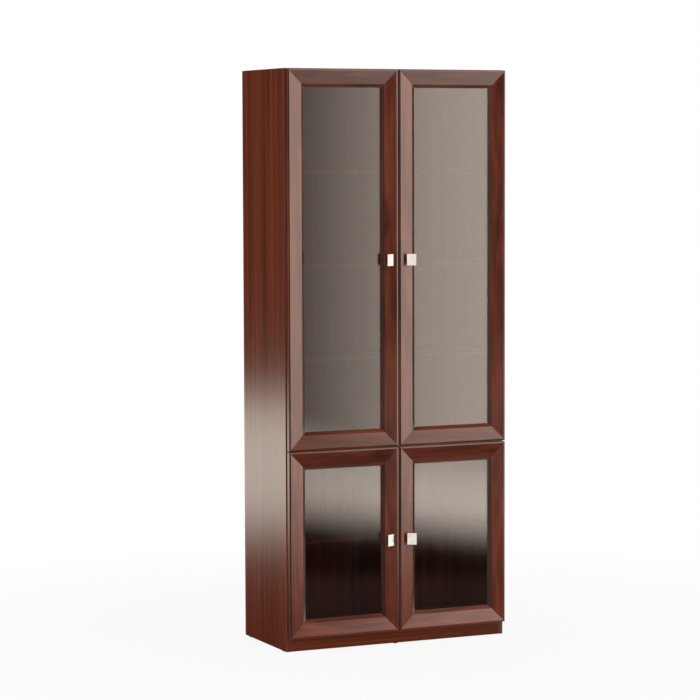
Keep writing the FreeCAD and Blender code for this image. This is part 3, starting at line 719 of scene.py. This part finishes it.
def eased(node: str, ease: Ease, finish: Finish) -> Piece:
    """Replace a node by a copy with rounded edges and clean shading.

    Args:
        node: the node's name.
        ease: the rounding.
        finish: the finish.

    Returns:
        The piece.
    """
    shape = welded(node)
    if ease is not NO_EASE:
        ease.apply(shape)
    mesh = bpy.data.meshes.new(f"{node}_eased")
    shape.to_mesh(mesh)
    shape.free()
    mesh.polygons.foreach_set("use_smooth", [True] * len(mesh.polygons))
    mesh.set_sharp_from_angle(angle=ease.crease)
    maker = linked(f"{node}_maker", mesh)
    shading = maker.modifiers.new("flat_faces_stay_flat", "WEIGHTED_NORMAL")
    shading.keep_sharp = True
    shading.weight = FLAT_FACE_WEIGHT
    return settle(baked(maker, f"{node}_eased"), node, finish)


@dataclass(frozen=True)
class FastenerSizes:
    """Sizes of one kind of fastener with a cross recess, from its crown inwards.

    Attributes:
        crown_radius: flat top of the head.
        head_radius: widest part of the head.
        head_height: head.
        recess_width: one arm of the cross.
        recess_length: the cross from end to end.
        recess_depth: the cross below the crown.
        shank_radius: shank below the head.
        point_radius: end of the shank.
        shank_length: shank.
    """

    crown_radius: float
    head_radius: float
    head_height: float
    recess_width: float
    recess_length: float
    recess_depth: float
    shank_radius: float
    point_radius: float
    shank_length: float

    @classmethod
    def labels(cls) -> dict[str, str]:
        """Give the label in the tree of each size, such as Head Radius."""
        return {size.name: size.name.replace("_", " ").title() for size in fields(cls)}


class FastenerTree:
    """Geometry nodes tree that sets a cross recessed fastener on every point of a mesh."""

    AIM = "aim"
    SIDES = 24

    def __init__(self) -> None:
        """Build the tree once."""
        self.tree = bpy.data.node_groups.new("cross_recessed_fasteners", "GeometryNodeTree")
        self.tree.is_modifier = True
        self.graph = Graph(self.tree)
        self.identifiers: dict[str, str] = {}
        self.declare()
        self.given = self.graph.add("NodeGroupInput").outputs
        self.build()

    def declare(self) -> None:
        """Name the tree's inputs and its output."""
        face = self.tree.interface
        kinds = dict.fromkeys(FastenerSizes.labels().values(), "NodeSocketFloat")
        kinds = {"Seats": "NodeSocketGeometry"} | kinds | {"Metal": "NodeSocketMaterial"}
        for label, kind in kinds.items():
            socket = face.new_socket(label, in_out="INPUT", socket_type=kind)
            self.identifiers[label] = socket.identifier
        face.new_socket("Fasteners", in_out="OUTPUT", socket_type="NodeSocketGeometry")

    def build(self) -> None:
        """Build one fastener and set it on every seat."""
        graph = self.graph
        given = self.given
        below_head = graph.math("MULTIPLY", given["Head Height"], -1.0)
        at_point = graph.math("SUBTRACT", below_head, given["Shank Length"])
        head = self.cone("Crown Radius", "Head Radius", "Head Height", below_head)
        shank = self.cone("Shank Radius", "Point Radius", "Shank Length", at_point)
        width = given["Recess Width"]
        length = given["Recess Length"]
        depth = graph.math("MULTIPLY", given["Recess Depth"], 2.0)
        how = {"operation": "DIFFERENCE", "solver": "EXACT"}
        crossed = graph.add("GeometryNodeMeshBoolean", {"Mesh 1": head}, **how)
        for sides in ((width, length), (length, width)):
            graph.fill(crossed, {"Mesh 2": self.bar(*sides, depth)})
        whole = graph.add("GeometryNodeJoinGeometry")
        for part in (crossed.outputs["Mesh"], shank):
            graph.fill(whole, {"Geometry": part})
        kind = "FLOAT_VECTOR"
        aim = graph.add("GeometryNodeInputNamedAttribute", {"Name": self.AIM}, data_type=kind)
        way = {"Vector": aim.outputs["Attribute"]}
        turn = graph.add("FunctionNodeAlignRotationToVector", way, axis="Z").outputs["Rotation"]
        seated = {"Points": given["Seats"], "Instance": whole.outputs[0], "Rotation": turn}
        spread = graph.add("GeometryNodeInstanceOnPoints", seated)
        real = graph.add("GeometryNodeRealizeInstances", {"Geometry": spread.outputs["Instances"]})
        plated = {"Geometry": real.outputs["Geometry"], "Material": given["Metal"]}
        dressed = graph.add("GeometryNodeSetMaterial", plated)
        graph.add("NodeGroupOutput", {"Fasteners": dressed.outputs["Geometry"]})

    def cone(self, top: str, bottom: str, depth: str, rise: Socket) -> Socket:
        """Make a cone that stands on a height.

        Args:
            top: label of its upper radius.
            bottom: label of its lower radius.
            depth: label of its height.
            rise: where its lower end lies.

        Returns:
            The cone.
        """
        sizes = {"Radius Top": top, "Radius Bottom": bottom, "Depth": depth}
        sizes = {name: self.given[label] for name, label in sizes.items()} | {"Vertices": self.SIDES}
        mesh = self.graph.add("GeometryNodeMeshCone", sizes).outputs["Mesh"]
        offset = self.graph.add("ShaderNodeCombineXYZ", {"Z": rise}).outputs["Vector"]
        moved = self.graph.add("GeometryNodeTransform", {"Geometry": mesh, "Translation": offset})
        return moved.outputs["Geometry"]

    def bar(self, *size: Socket) -> Socket:
        """Make a block round the origin.

        Args:
            size: its size along X, Y and Z.

        Returns:
            The block.
        """
        inputs = dict(zip("XYZ", size))
        extent = self.graph.add("ShaderNodeCombineXYZ", inputs).outputs["Vector"]
        return self.graph.add("GeometryNodeMeshCube", {"Size": extent}).outputs["Mesh"]

    def place(self, name: str, seats: Sequence[Seat], sizes: FastenerSizes, finish: Finish) -> Piece:
        """Set fasteners on seats.

        Args:
            name: name of the piece.
            seats: middle of each crown and the way it faces.
            sizes: sizes of the fasteners.
            finish: their finish.

        Returns:
            One plain mesh object with all of them.
        """
        mesh = bpy.data.meshes.new(f"{name}_seats")
        mesh.from_pydata([spot for spot, way in seats], [], [])
        aims = mesh.attributes.new(self.AIM, "FLOAT_VECTOR", "POINT")
        aims.data.foreach_set("vector", [part for spot, way in seats for part in way])
        maker = linked(f"{name}_maker", mesh)
        modifier = maker.modifiers.new("fasteners", "NODES")
        modifier.node_group = self.tree
        for size, label in sizes.labels().items():
            modifier[self.identifiers[label]] = getattr(sizes, size)
        modifier[self.identifiers["Metal"]] = material_of(finish)
        return baked(maker, name)


@dataclass
class Carcass:
    """Boards that stay still, with the back panel.

    Attributes:
        uprights: sides and partitions.
        levels: boards across the whole width.
        plinths: boards that stand on the floor between the sides.
        shelves: loose shelves.
        plinth_refraction: how strongly the plinths mirror, less than the other boards.
    """

    uprights: tuple[str, ...] = ("left_side", "right_side", "upper_partition", "lower_partition")
    levels: tuple[str, ...] = ("top_board", "middle_board", "bottom_board")
    plinths: tuple[str, ...] = ("front_plinth", "rear_plinth")
    shelves: tuple[str, ...] = ("upper_left_shelves", "upper_right_shelves", "lower_shelves")
    plinth_refraction: float = 1.7

    def dress(self) -> None:
        """Ease and finish every board."""
        for node in self.uprights:
            eased(node, BOARD_EASE, veneer(Grain.UPRIGHT))
        for node in self.levels:
            eased(node, BOARD_EASE, veneer(Grain.ACROSS))
        for node in self.plinths:
            eased(node, BOARD_EASE, veneer(Grain.ACROSS, self.plinth_refraction))
        for node in self.shelves:
            eased(node, BOARD_EASE, SHELF_STAIN)
        eased("back_panel", SHEET_EASE, BACK_SHEET)


@dataclass
class Fittings:
    """Connectors, pegs, glides, bumpers and the still half of the hinges.

    Attributes:
        fasteners: tree that makes cams and screws.
        cam_chamfer: bevel of a cam's crown.
        cam_head_share: upper part of a cam, as a share of its depth.
        cam_recess_width: one arm of the cross in a cam.
        cam_recess_share: the cross from end to end, as a share of the cam's radius.
        cam_recess_depth: the cross below the crown of a cam.
        wing_height: plate wings above the side board.
        plate_pitch: between the two screws of a plate.
        wing_setback: plate screws behind the front end of the plate.
        arm_setbacks: adjusting screws behind the front end of the arm's bar.
        plate_screw: sizes of the screws on plates and arms.
    """

    fasteners: FastenerTree
    cam_chamfer: float = 0.4 * MM
    cam_head_share: float = 0.75
    cam_recess_width: float = 1.6 * MM
    cam_recess_share: float = 1.1
    cam_recess_depth: float = 2.5 * MM
    wing_height: float = 3 * MM
    plate_pitch: float = 32 * MM
    wing_setback: float = 23 * MM
    arm_setbacks: tuple[float, float] = (14 * MM, 42 * MM)
    plate_screw: FastenerSizes = FastenerSizes(
        crown_radius=2.6 * MM,
        head_radius=3.3 * MM,
        head_height=1.2 * MM,
        recess_width=0.9 * MM,
        recess_length=3.6 * MM,
        recess_depth=0.7 * MM,
        shank_radius=1.6 * MM,
        point_radius=0.5 * MM,
        shank_length=3.5 * MM,
    )

    def dress(self) -> None:
        """Finish every fitting of the carcass."""
        eased("shelf_pegs", FITTING_EASE, NICKEL_PLATE)
        eased("floor_glides", DOT_EASE, BLACK_GLIDE)
        eased("door_bumpers", DOT_EASE, SOFT_DOT)
        eased("hinge_arms", FITTING_EASE, NICKEL_PLATE)
        eased("hinge_plates", FITTING_EASE, NICKEL_PLATE)
        dress("connector_bolts", ZINC_PLATE)
        self.cams()
        self.plate_screws()
        self.arm_screws()

    def cams(self) -> None:
        """Make the connector cams with cross recesses, facing the side they were pushed in from."""
        seats = []
        for low, high in solids_of("connector_cams"):
            size = high - low
            centre = (low + high) / 2
            depth = min(size)
            way = -RIGHT if size.x == depth else -UP
            seats.append((centre + way * depth / 2, way))
        # All cams are alike, so the last one gives the sizes.
        radius = max(size) / 2
        sizes = FastenerSizes(
            crown_radius=radius - self.cam_chamfer,
            head_radius=radius,
            head_height=self.cam_head_share * depth,
            recess_width=self.cam_recess_width,
            recess_length=self.cam_recess_share * radius,
            recess_depth=self.cam_recess_depth,
            shank_radius=radius,
            point_radius=radius - self.cam_chamfer,
            shank_length=(1 - self.cam_head_share) * depth,
        )
        piece = self.fasteners.place("crossed_cams", seats, sizes, CAST_ZINC)
        settle(piece, "connector_cams")

    def plate_screws(self) -> None:
        """Add the two screws of each hinge plate, on its wings."""
        seats = []
        for low, high in solids_of("hinge_plates"):
            inward = RIGHT if low.x < 0 else -RIGHT
            board_face = low.x if low.x < 0 else high.x
            crown = self.wing_height + self.plate_screw.head_height
            middle = (low.z + high.z) / 2
            for side in (-1, 1):
                rise = middle + side * self.plate_pitch / 2
                spot = Vector((board_face, low.y + self.wing_setback, rise)) + inward * crown
                seats.append((spot, inward))
        self.ride_along("plate_screws", seats)

    def arm_screws(self) -> None:
        """Add the two adjusting screws of each hinge arm, on its bar."""
        seats = []
        bar_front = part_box("left_side")[0].y
        crown = self.plate_screw.head_height
        for low, high in solids_of("hinge_arms"):
            inward = RIGHT if low.x < 0 else -RIGHT
            face = high.x if low.x < 0 else low.x
            middle = (low.z + high.z) / 2
            for setback in self.arm_setbacks:
                spot = Vector((face, bar_front + setback, middle)) + inward * crown
                seats.append((spot, inward))
        self.ride_along("arm_screws", seats)

    def ride_along(self, name: str, seats: Sequence[Seat]) -> None:
        """Make screws that belong to no node and let them ride on the carcass.

        Args:
            name: name of the piece.
            seats: middle of each crown and the way it faces.
        """
        piece = self.fasteners.place(name, seats, self.plate_screw, ZINC_PLATE)
        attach(piece, body_of("hinge_plates"))
        log.info("%s: %d fasteners", name, len(seats))


@dataclass(frozen=True)
class FramePaintedLight:
    """Painted light and shade on the bars of a door frame: how much lighter or darker each is drawn
    than the stain itself.

    Attributes:
        stiles: both stiles.
        top_rail: the top rail.
        bottom_rail: the bottom rail.
    """

    stiles: float
    top_rail: float
    bottom_rail: float


class Level(Enum):
    """Which pair of doors, with the painted light and shade of its frames."""

    # Painted light and shade: top rails face down and are drawn darker, bottom rails face up and are
    # drawn lighter, and the lower doors are drawn lighter all over.
    UPPER = FramePaintedLight(stiles=1.06, top_rail=0.76, bottom_rail=1.12)
    LOWER = FramePaintedLight(stiles=1.3, top_rail=0.92, bottom_rail=1.62)


class Side(Enum):
    """Which side a door hangs on, as the names of its nodes say it."""

    LEFT = "left"
    RIGHT = "right"


@dataclass
class Door:
    """One framed glass door and everything that swings with it.

    Attributes:
        level: which pair it belongs to.
        side: which side it hangs on.
        fasteners: tree that makes its screws.
        end_facing: how squarely a face of the knob looks sideways to count as one of its ends.
        edge_lean: how far the bevel and the lip of a stile lean at least.
        edge_area: the bevel and the lip are larger than this, in square metres.
        screw_shares: sizes of a screw as shares of its head's radius, its length left open.
    """

    level: Level
    side: Side
    fasteners: FastenerTree
    end_facing: float = 0.85
    edge_lean: float = 0.2
    edge_area: float = 0.001
    screw_shares: FastenerSizes = FastenerSizes(
        crown_radius=0.78,
        head_radius=1.0,
        head_height=0.25,
        recess_width=0.28,
        recess_length=1.15,
        recess_depth=0.2,
        shank_radius=0.46,
        point_radius=0.3,
        shank_length=0.0,
    )

    def node(self, piece: str) -> str:
        """Give the full node name of one of the door's pieces."""
        return f"{self.level.name.lower()}_{self.side.value}_{piece}"

    def dress(self) -> None:
        """Finish every piece of the door."""
        lightness = self.level.value
        self.stile("hinge_stile", lightness.stiles)
        self.stile("lock_stile", lightness.stiles)
        eased(self.node("top_rail"), FRAME_EASE, frame_stain(Grain.ACROSS, lightness.top_rail))
        eased(self.node("bottom_rail"), FRAME_EASE, frame_stain(Grain.ACROSS, lightness.bottom_rail))
        dress(self.node("glass"), SMOKED_PANE)
        eased(self.node("glass_beads"), BEAD_EASE, DARK_STRIP)
        self.knob()
        eased(self.node("hinge_cups"), FINE_EASE, NICKEL_PLATE)
        eased(self.node("hinge_pins"), NO_EASE, NICKEL_PLATE)
        self.screws()

    def stile(self, piece: str, lightness: float) -> None:
        """Finish a stile, with painted shade on its bevel and its lip.

        Args:
            piece: name of the stile.
            lightness: painted light and shade, how much lighter or darker it is drawn than the stain
                itself.
        """
        stile = eased(self.node(piece), FRAME_EASE, frame_stain(Grain.UPRIGHT, lightness))
        stile.data.materials.append(material_of(EDGE_PAINTED_SHADE))
        # The bevel and the lip, faces that lean sideways and forward, get the painted shade.
        for face in stile.data.polygons:
            leans = abs(face.normal.x) > self.edge_lean and face.normal.y < -self.edge_lean
            face.material_index = int(leans and face.area > self.edge_area)

    def knob(self) -> None:
        """Polish the knob, with painted shade on the ends beside its leaning face."""
        piece = eased(self.node("knob"), NO_EASE, POLISHED_CHROME)
        piece.data.materials.append(material_of(PAINTED_SHADE_CHROME))
        # The knob's ends, faces that look sideways, get the painted shade.
        for face in piece.data.polygons:
            face.material_index = int(abs(face.normal.x) > self.end_facing)

    def screws(self) -> None:
        """Make the screws of the hinge cups and of the knob, with cross recesses."""
        kinds: dict[float, list[Box]] = {}
        for low, high in solids_of(self.node("screws")):
            kinds.setdefault(round(high.x - low.x, PLACES), []).append((low, high))
        sets = []
        for across, boxes in sorted(kinds.items()):
            seats = []
            for low, high in boxes:
                crown = Vector(((low.x + high.x) / 2, high.y, (low.z + high.z) / 2))
                seats.append((crown, REARWARD))
            # Screws with equal heads are alike, so the last one gives the sizes.
            sizes = self.screw_sizes(across / 2, high.y - low.y)
            sets.append(self.fasteners.place(self.node("screw_set"), seats, sizes, ZINC_PLATE))
        shape = bmesh.new()
        for part in sets:
            shape.from_mesh(part.data)
        kept, *others = sets
        shape.to_mesh(kept.data)
        shape.free()
        for other in others:
            bpy.data.objects.remove(other)
        kept.name = self.node("crossed_screws")
        settle(kept, self.node("screws"))

    def screw_sizes(self, radius: float, length: float) -> FastenerSizes:
        """Work out a screw's sizes from the room that its solid takes.

        Args:
            radius: radius of the head.
            length: crown to point.

        Returns:
            The screw's sizes.
        """
        sizes = {name: share * radius for name, share in vars(self.screw_shares).items()}
        sizes["shank_length"] = length - sizes["head_height"]
        return FastenerSizes(**sizes)


@dataclass(frozen=True)
class Screen:
    """Lit panel of the studio, seen by polished faces only.

    Attributes:
        bearings: where it begins, is full, fades and ends, in degrees.
        heights: the same from below upwards, in degrees.
        light: its colour times its brightness.
        lean: how far its heights sink for each degree of bearing.
        pivot: bearing at which the heights hold as they are given, in degrees.
    """

    bearings: tuple[float, float, float, float]
    heights: tuple[float, float, float, float]
    light: Colour
    lean: float = 0.0
    pivot: float = 24.5

    def add_to(self, graph: Graph, room: Socket, bearing: Socket, height: Socket) -> Socket:
        """Add the panel to what the room shows so far.

        Args:
            graph: the world's nodes.
            room: colour of the room so far.
            bearing: way that is looked, in radians.
            height: way that is looked, in radians.

        Returns:
            Colour of the room with the panel.
        """
        beyond = graph.math("SUBTRACT", bearing, math.radians(self.pivot))
        level = graph.math("ADD", height, graph.math("MULTIPLY", beyond, self.lean))
        across = self.window(graph, bearing, self.bearings)
        share = graph.math("MULTIPLY", across, self.window(graph, level, self.heights))
        panel = graph.blend(share, BLACK, opaque(self.light))
        return graph.blend(1.0, room, panel, "LIGHTEN")

    @staticmethod
    def window(graph: Graph, angle: Socket, span: Sequence[float]) -> Socket:
        """Make a window with soft edges.

        Args:
            graph: the world's nodes.
            angle: the angle, in radians.
            span: where it begins, is full, fades and ends, in degrees.

        Returns:
            The share, from 0 outside to 1 inside.
        """
        begin, full, fade, end = (math.radians(part) for part in span)
        opening = graph.remap(angle, (begin, full), (0.0, 1.0), soft=True)
        closing = graph.remap(angle, (fade, end), (1.0, 0.0), soft=True)
        return graph.math("MULTIPLY", opening, closing)


WINDOW_LIGHT = (0.7, 0.68, 0.66)
FLOOR_LIGHT = (0.14, 0.135, 0.13)
LEVEL_WINDOW = (-30, -10, 45, 60)
LOW_WINDOW = (-80, -60, -28, -20)
FLOOR_HEIGHTS = (-100, -95, -16, -11)
KNOB_HEIGHTS = (-16, -13, 34, 50)
SCREENS = (
    # Dim room down to its floor line, all the way round.
    Screen((-190, -185, 185, 190), (-8.9, -8.0, 95, 100), (0.013, 0.0115, 0.0105)),
    # Bright wall in the panes, and its brighter part on the left-hand stiles.
    Screen((21.6, 27.8, 60, 66), (-8.6, -5.9, 34, 50), (1.4, 1.2, 1.04), 0.03),
    Screen((29, 33, 60, 66), (-8.34, -7.5, 34, 50), (1.82, 1.52, 1.31), 0.03),
    # Foot of the wall in the lower panes, and the dim floor in front of it.
    Screen((17, 27.8, 30, 34), (-8.46, -7.3, -7.35, -4.9), (1.84, 1.6, 1.4), 0.1),
    Screen((20, 22, 29, 31), (-10.4, -10.05, -9.3, -8.95), (0.045, 0.027, 0.025)),
    # Weak panel on the right-hand stiles.
    Screen((4, 8, 18, 22), (-8.4, -7.6, -5.4, -4.6), (0.2, 0.18, 0.165)),
    # Panels on the left and on the right knobs.
    Screen((60, 66, 84, 88), KNOB_HEIGHTS, (1.2, 1.18, 1.1)),
    Screen((-38, -35, -28, -25), KNOB_HEIGHTS, (1.02, 0.93, 0.87)),
    # Low band on the left side board.
    Screen((-178, -172, -130, -110), (-8.85, -7.3, -6.0, -4.75), (1.42, 1.4, 1.25)),
    # Dim floor on both sides, left out where the lower rails would mirror it.
    Screen((-190, -185, 4, 14), FLOOR_HEIGHTS, FLOOR_LIGHT),
    Screen((36, 46, 185, 190), FLOOR_HEIGHTS, FLOOR_LIGHT),
    # Windows on the right and on the left, seen when the cabinet is looked at from other sides.
    Screen((104, 112, 140, 150), LEVEL_WINDOW, WINDOW_LIGHT),
    Screen((-125, -110, -54, -48), LEVEL_WINDOW, WINDOW_LIGHT),
    Screen((64, 74, 150, 165), LOW_WINDOW, WINDOW_LIGHT),
    Screen((-120, -100, -46, -36), LOW_WINDOW, WINDOW_LIGHT),
)


@dataclass
class Studio:
    """White room round the cabinet, its light and the camera.

    Angles are degrees. Bearings are taken from the front, growing towards the right; heights are
    above the horizon.

    Attributes:
        camera_place: where the camera stands.
        camera_bearing: way it looks, from the rear direction towards the right.
        camera_dip: how far it looks down.
        camera_roll: how far it leans.
        lens: focal length for the sensor's width of 36 mm, in millimetres.
        fill: level of the light from all sides.
        screens: what polished faces mirror, the dim room first and then its lit panels.
        floor_reach: radius of the floor.
        floor_sides: straight pieces of the floor's rim.
        floor_tone: colour of the floor.
        floor_roughness: how matt the floor is.
        fade_from: where the floor begins to fade into the white, as a share of its radius.
        shade_share: how much of the floor's own shading shows.
        lamp_place: where the lamp hangs.
        lamp_size: side of the lamp.
        lamp_power: power of the lamp, in watts.
    """

    camera_place: tuple[float, float, float] = (-4.18735, -8.97055, 1.81717)
    camera_bearing: float = 24.4557
    camera_dip: float = 4.2846
    camera_roll: float = -0.1828
    lens: float = 137.276
    fill: float = 0.8
    screens: tuple[Screen, ...] = SCREENS
    floor_reach: float = 2.6
    floor_sides: int = 96
    floor_tone: Colour = (0.7, 0.7, 0.7)
    floor_roughness: float = 0.9
    fade_from: float = 0.35
    shade_share: float = 0.1
    lamp_place: tuple[float, float, float] = (0.4, -3.0, 4.6)
    lamp_size: float = 3.0
    lamp_power: float = 60.0

    def set_up(self) -> None:
        """Make the floor, the world, the lamp and the camera."""
        self.floor()
        self.world()
        self.lamp()
        self.camera()

    def floor(self) -> None:
        """Lay a pale round floor that keeps the shadow and fades into the white."""
        shape = bmesh.new()
        rim = {"segments": self.floor_sides, "radius": self.floor_reach}
        bmesh.ops.create_circle(shape, cap_ends=True, **rim)
        mesh = bpy.data.meshes.new("pale_floor")
        shape.to_mesh(mesh)
        shape.free()
        floor = linked("pale_floor", mesh)
        mesh.materials.append(self.floor_material())
        floor.visible_glossy = False
        floor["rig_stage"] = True

    def floor_material(self) -> Material:
        """Make the floor's material: white to the camera but for a share of shadow.

        Returns:
            The material.
        """
        material = bpy.data.materials.new("pale_floor")
        material.use_nodes = True
        graph = Graph(material.node_tree)
        matte = graph.tree.nodes["Principled BSDF"]
        skin = {"Base Color": opaque(self.floor_tone), "Roughness": self.floor_roughness}
        graph.fill(matte, skin)
        white = graph.add("ShaderNodeEmission", {"Color": WHITE, "Strength": 1.0})
        place = {"Vector": graph.add("ShaderNodeTexCoord").outputs["Object"]}
        out = graph.add("ShaderNodeVectorMath", place, operation="LENGTH").outputs["Value"]
        ends = (self.fade_from * self.floor_reach, self.floor_reach)
        whiteness = graph.remap(out, ends, (1 - self.shade_share, 1.0), soft=True)
        seen = graph.add("ShaderNodeLightPath").outputs["Is Camera Ray"]
        mix = graph.mix(graph.math("MULTIPLY", whiteness, seen), matte, white)
        graph.fill(graph.tree.nodes["Material Output"], {"Surface": mix.outputs["Shader"]})
        return material

    def world(self) -> None:
        """Surround the cabinet: white to the camera, even light, screens for polished faces."""
        world = bpy.data.worlds.new("white_room")
        world.use_nodes = True
        bpy.context.scene.world = world
        world.node_tree.nodes.clear()
        graph = Graph(world.node_tree)
        white, even, mirrored = (
            graph.add("ShaderNodeBackground", {"Color": colour, "Strength": strength})
            for colour, strength in ((WHITE, 1.0), (WHITE, self.fill), (self.room(graph), 1.0))
        )
        path = graph.add("ShaderNodeLightPath").outputs
        seen = graph.math("MAXIMUM", path["Is Camera Ray"], path["Is Transmission Ray"])
        lit = graph.mix(path["Is Glossy Ray"], even, mirrored)
        whole = graph.mix(seen, lit, white)
        graph.add("ShaderNodeOutputWorld", {"Surface": whole.outputs["Shader"]})

    def room(self, graph: Graph) -> Socket:
        """Work out what the room shows to polished faces in each direction.

        Args:
            graph: the world's nodes.

        Returns:
            The room's colour.
        """
        way = graph.add("ShaderNodeTexCoord").outputs["Generated"]
        parts = graph.add("ShaderNodeSeparateXYZ", {"Vector": way}).outputs
        bearing = graph.math("ARCTAN2", parts["X"], graph.math("MULTIPLY", parts["Y"], -1.0))
        height = graph.math("ARCSINE", parts["Z"])
        room = graph.add("ShaderNodeRGB").outputs["Color"]
        room.default_value = BLACK
        for screen in self.screens:
            room = screen.add_to(graph, room, bearing, height)
        return room

    def lamp(self) -> None:
        """Hang one large soft lamp above the front."""
        light = bpy.data.lights.new("overhead_softbox", "AREA")
        light.shape = "SQUARE"
        light.size = self.lamp_size
        light.energy = self.lamp_power
        lamp = linked("overhead_softbox", light)
        place = Vector(self.lamp_place)
        target = Vector((0, 0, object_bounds()[1].z / 2))
        aim = (target - place).to_track_quat("-Z", "Y").to_matrix().to_4x4()
        lamp.matrix_world = Matrix.Translation(place) @ aim
        lamp.visible_glossy = False

    def camera(self) -> None:
        """Stand the camera where the photograph was taken from."""
        data = bpy.data.cameras.new("front_left_camera")
        data.lens = self.lens
        camera = linked("front_left_camera", data)
        turn = Matrix.Rotation(math.radians(-self.camera_bearing), 4, "Z")
        tilt = Matrix.Rotation(math.radians(90 - self.camera_dip), 4, "X")
        lean = Matrix.Rotation(math.radians(self.camera_roll), 4, "Z")
        camera.matrix_world = Matrix.Translation(self.camera_place) @ turn @ tilt @ lean
        bpy.context.scene.camera = camera


def main() -> None:
    """Dress the cabinet and set up the studio."""
    logging.basicConfig(level=logging.INFO, format="%(name)s: %(message)s")
    bpy.context.scene.view_settings.view_transform = "Standard"
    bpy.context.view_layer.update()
    fasteners = FastenerTree()
    Carcass().dress()
    Fittings(fasteners).dress()
    for level in Level:
        for side in Side:
            Door(level, side, fasteners).dress()
    Studio().set_up()


if __name__ == "__main__":
    main()
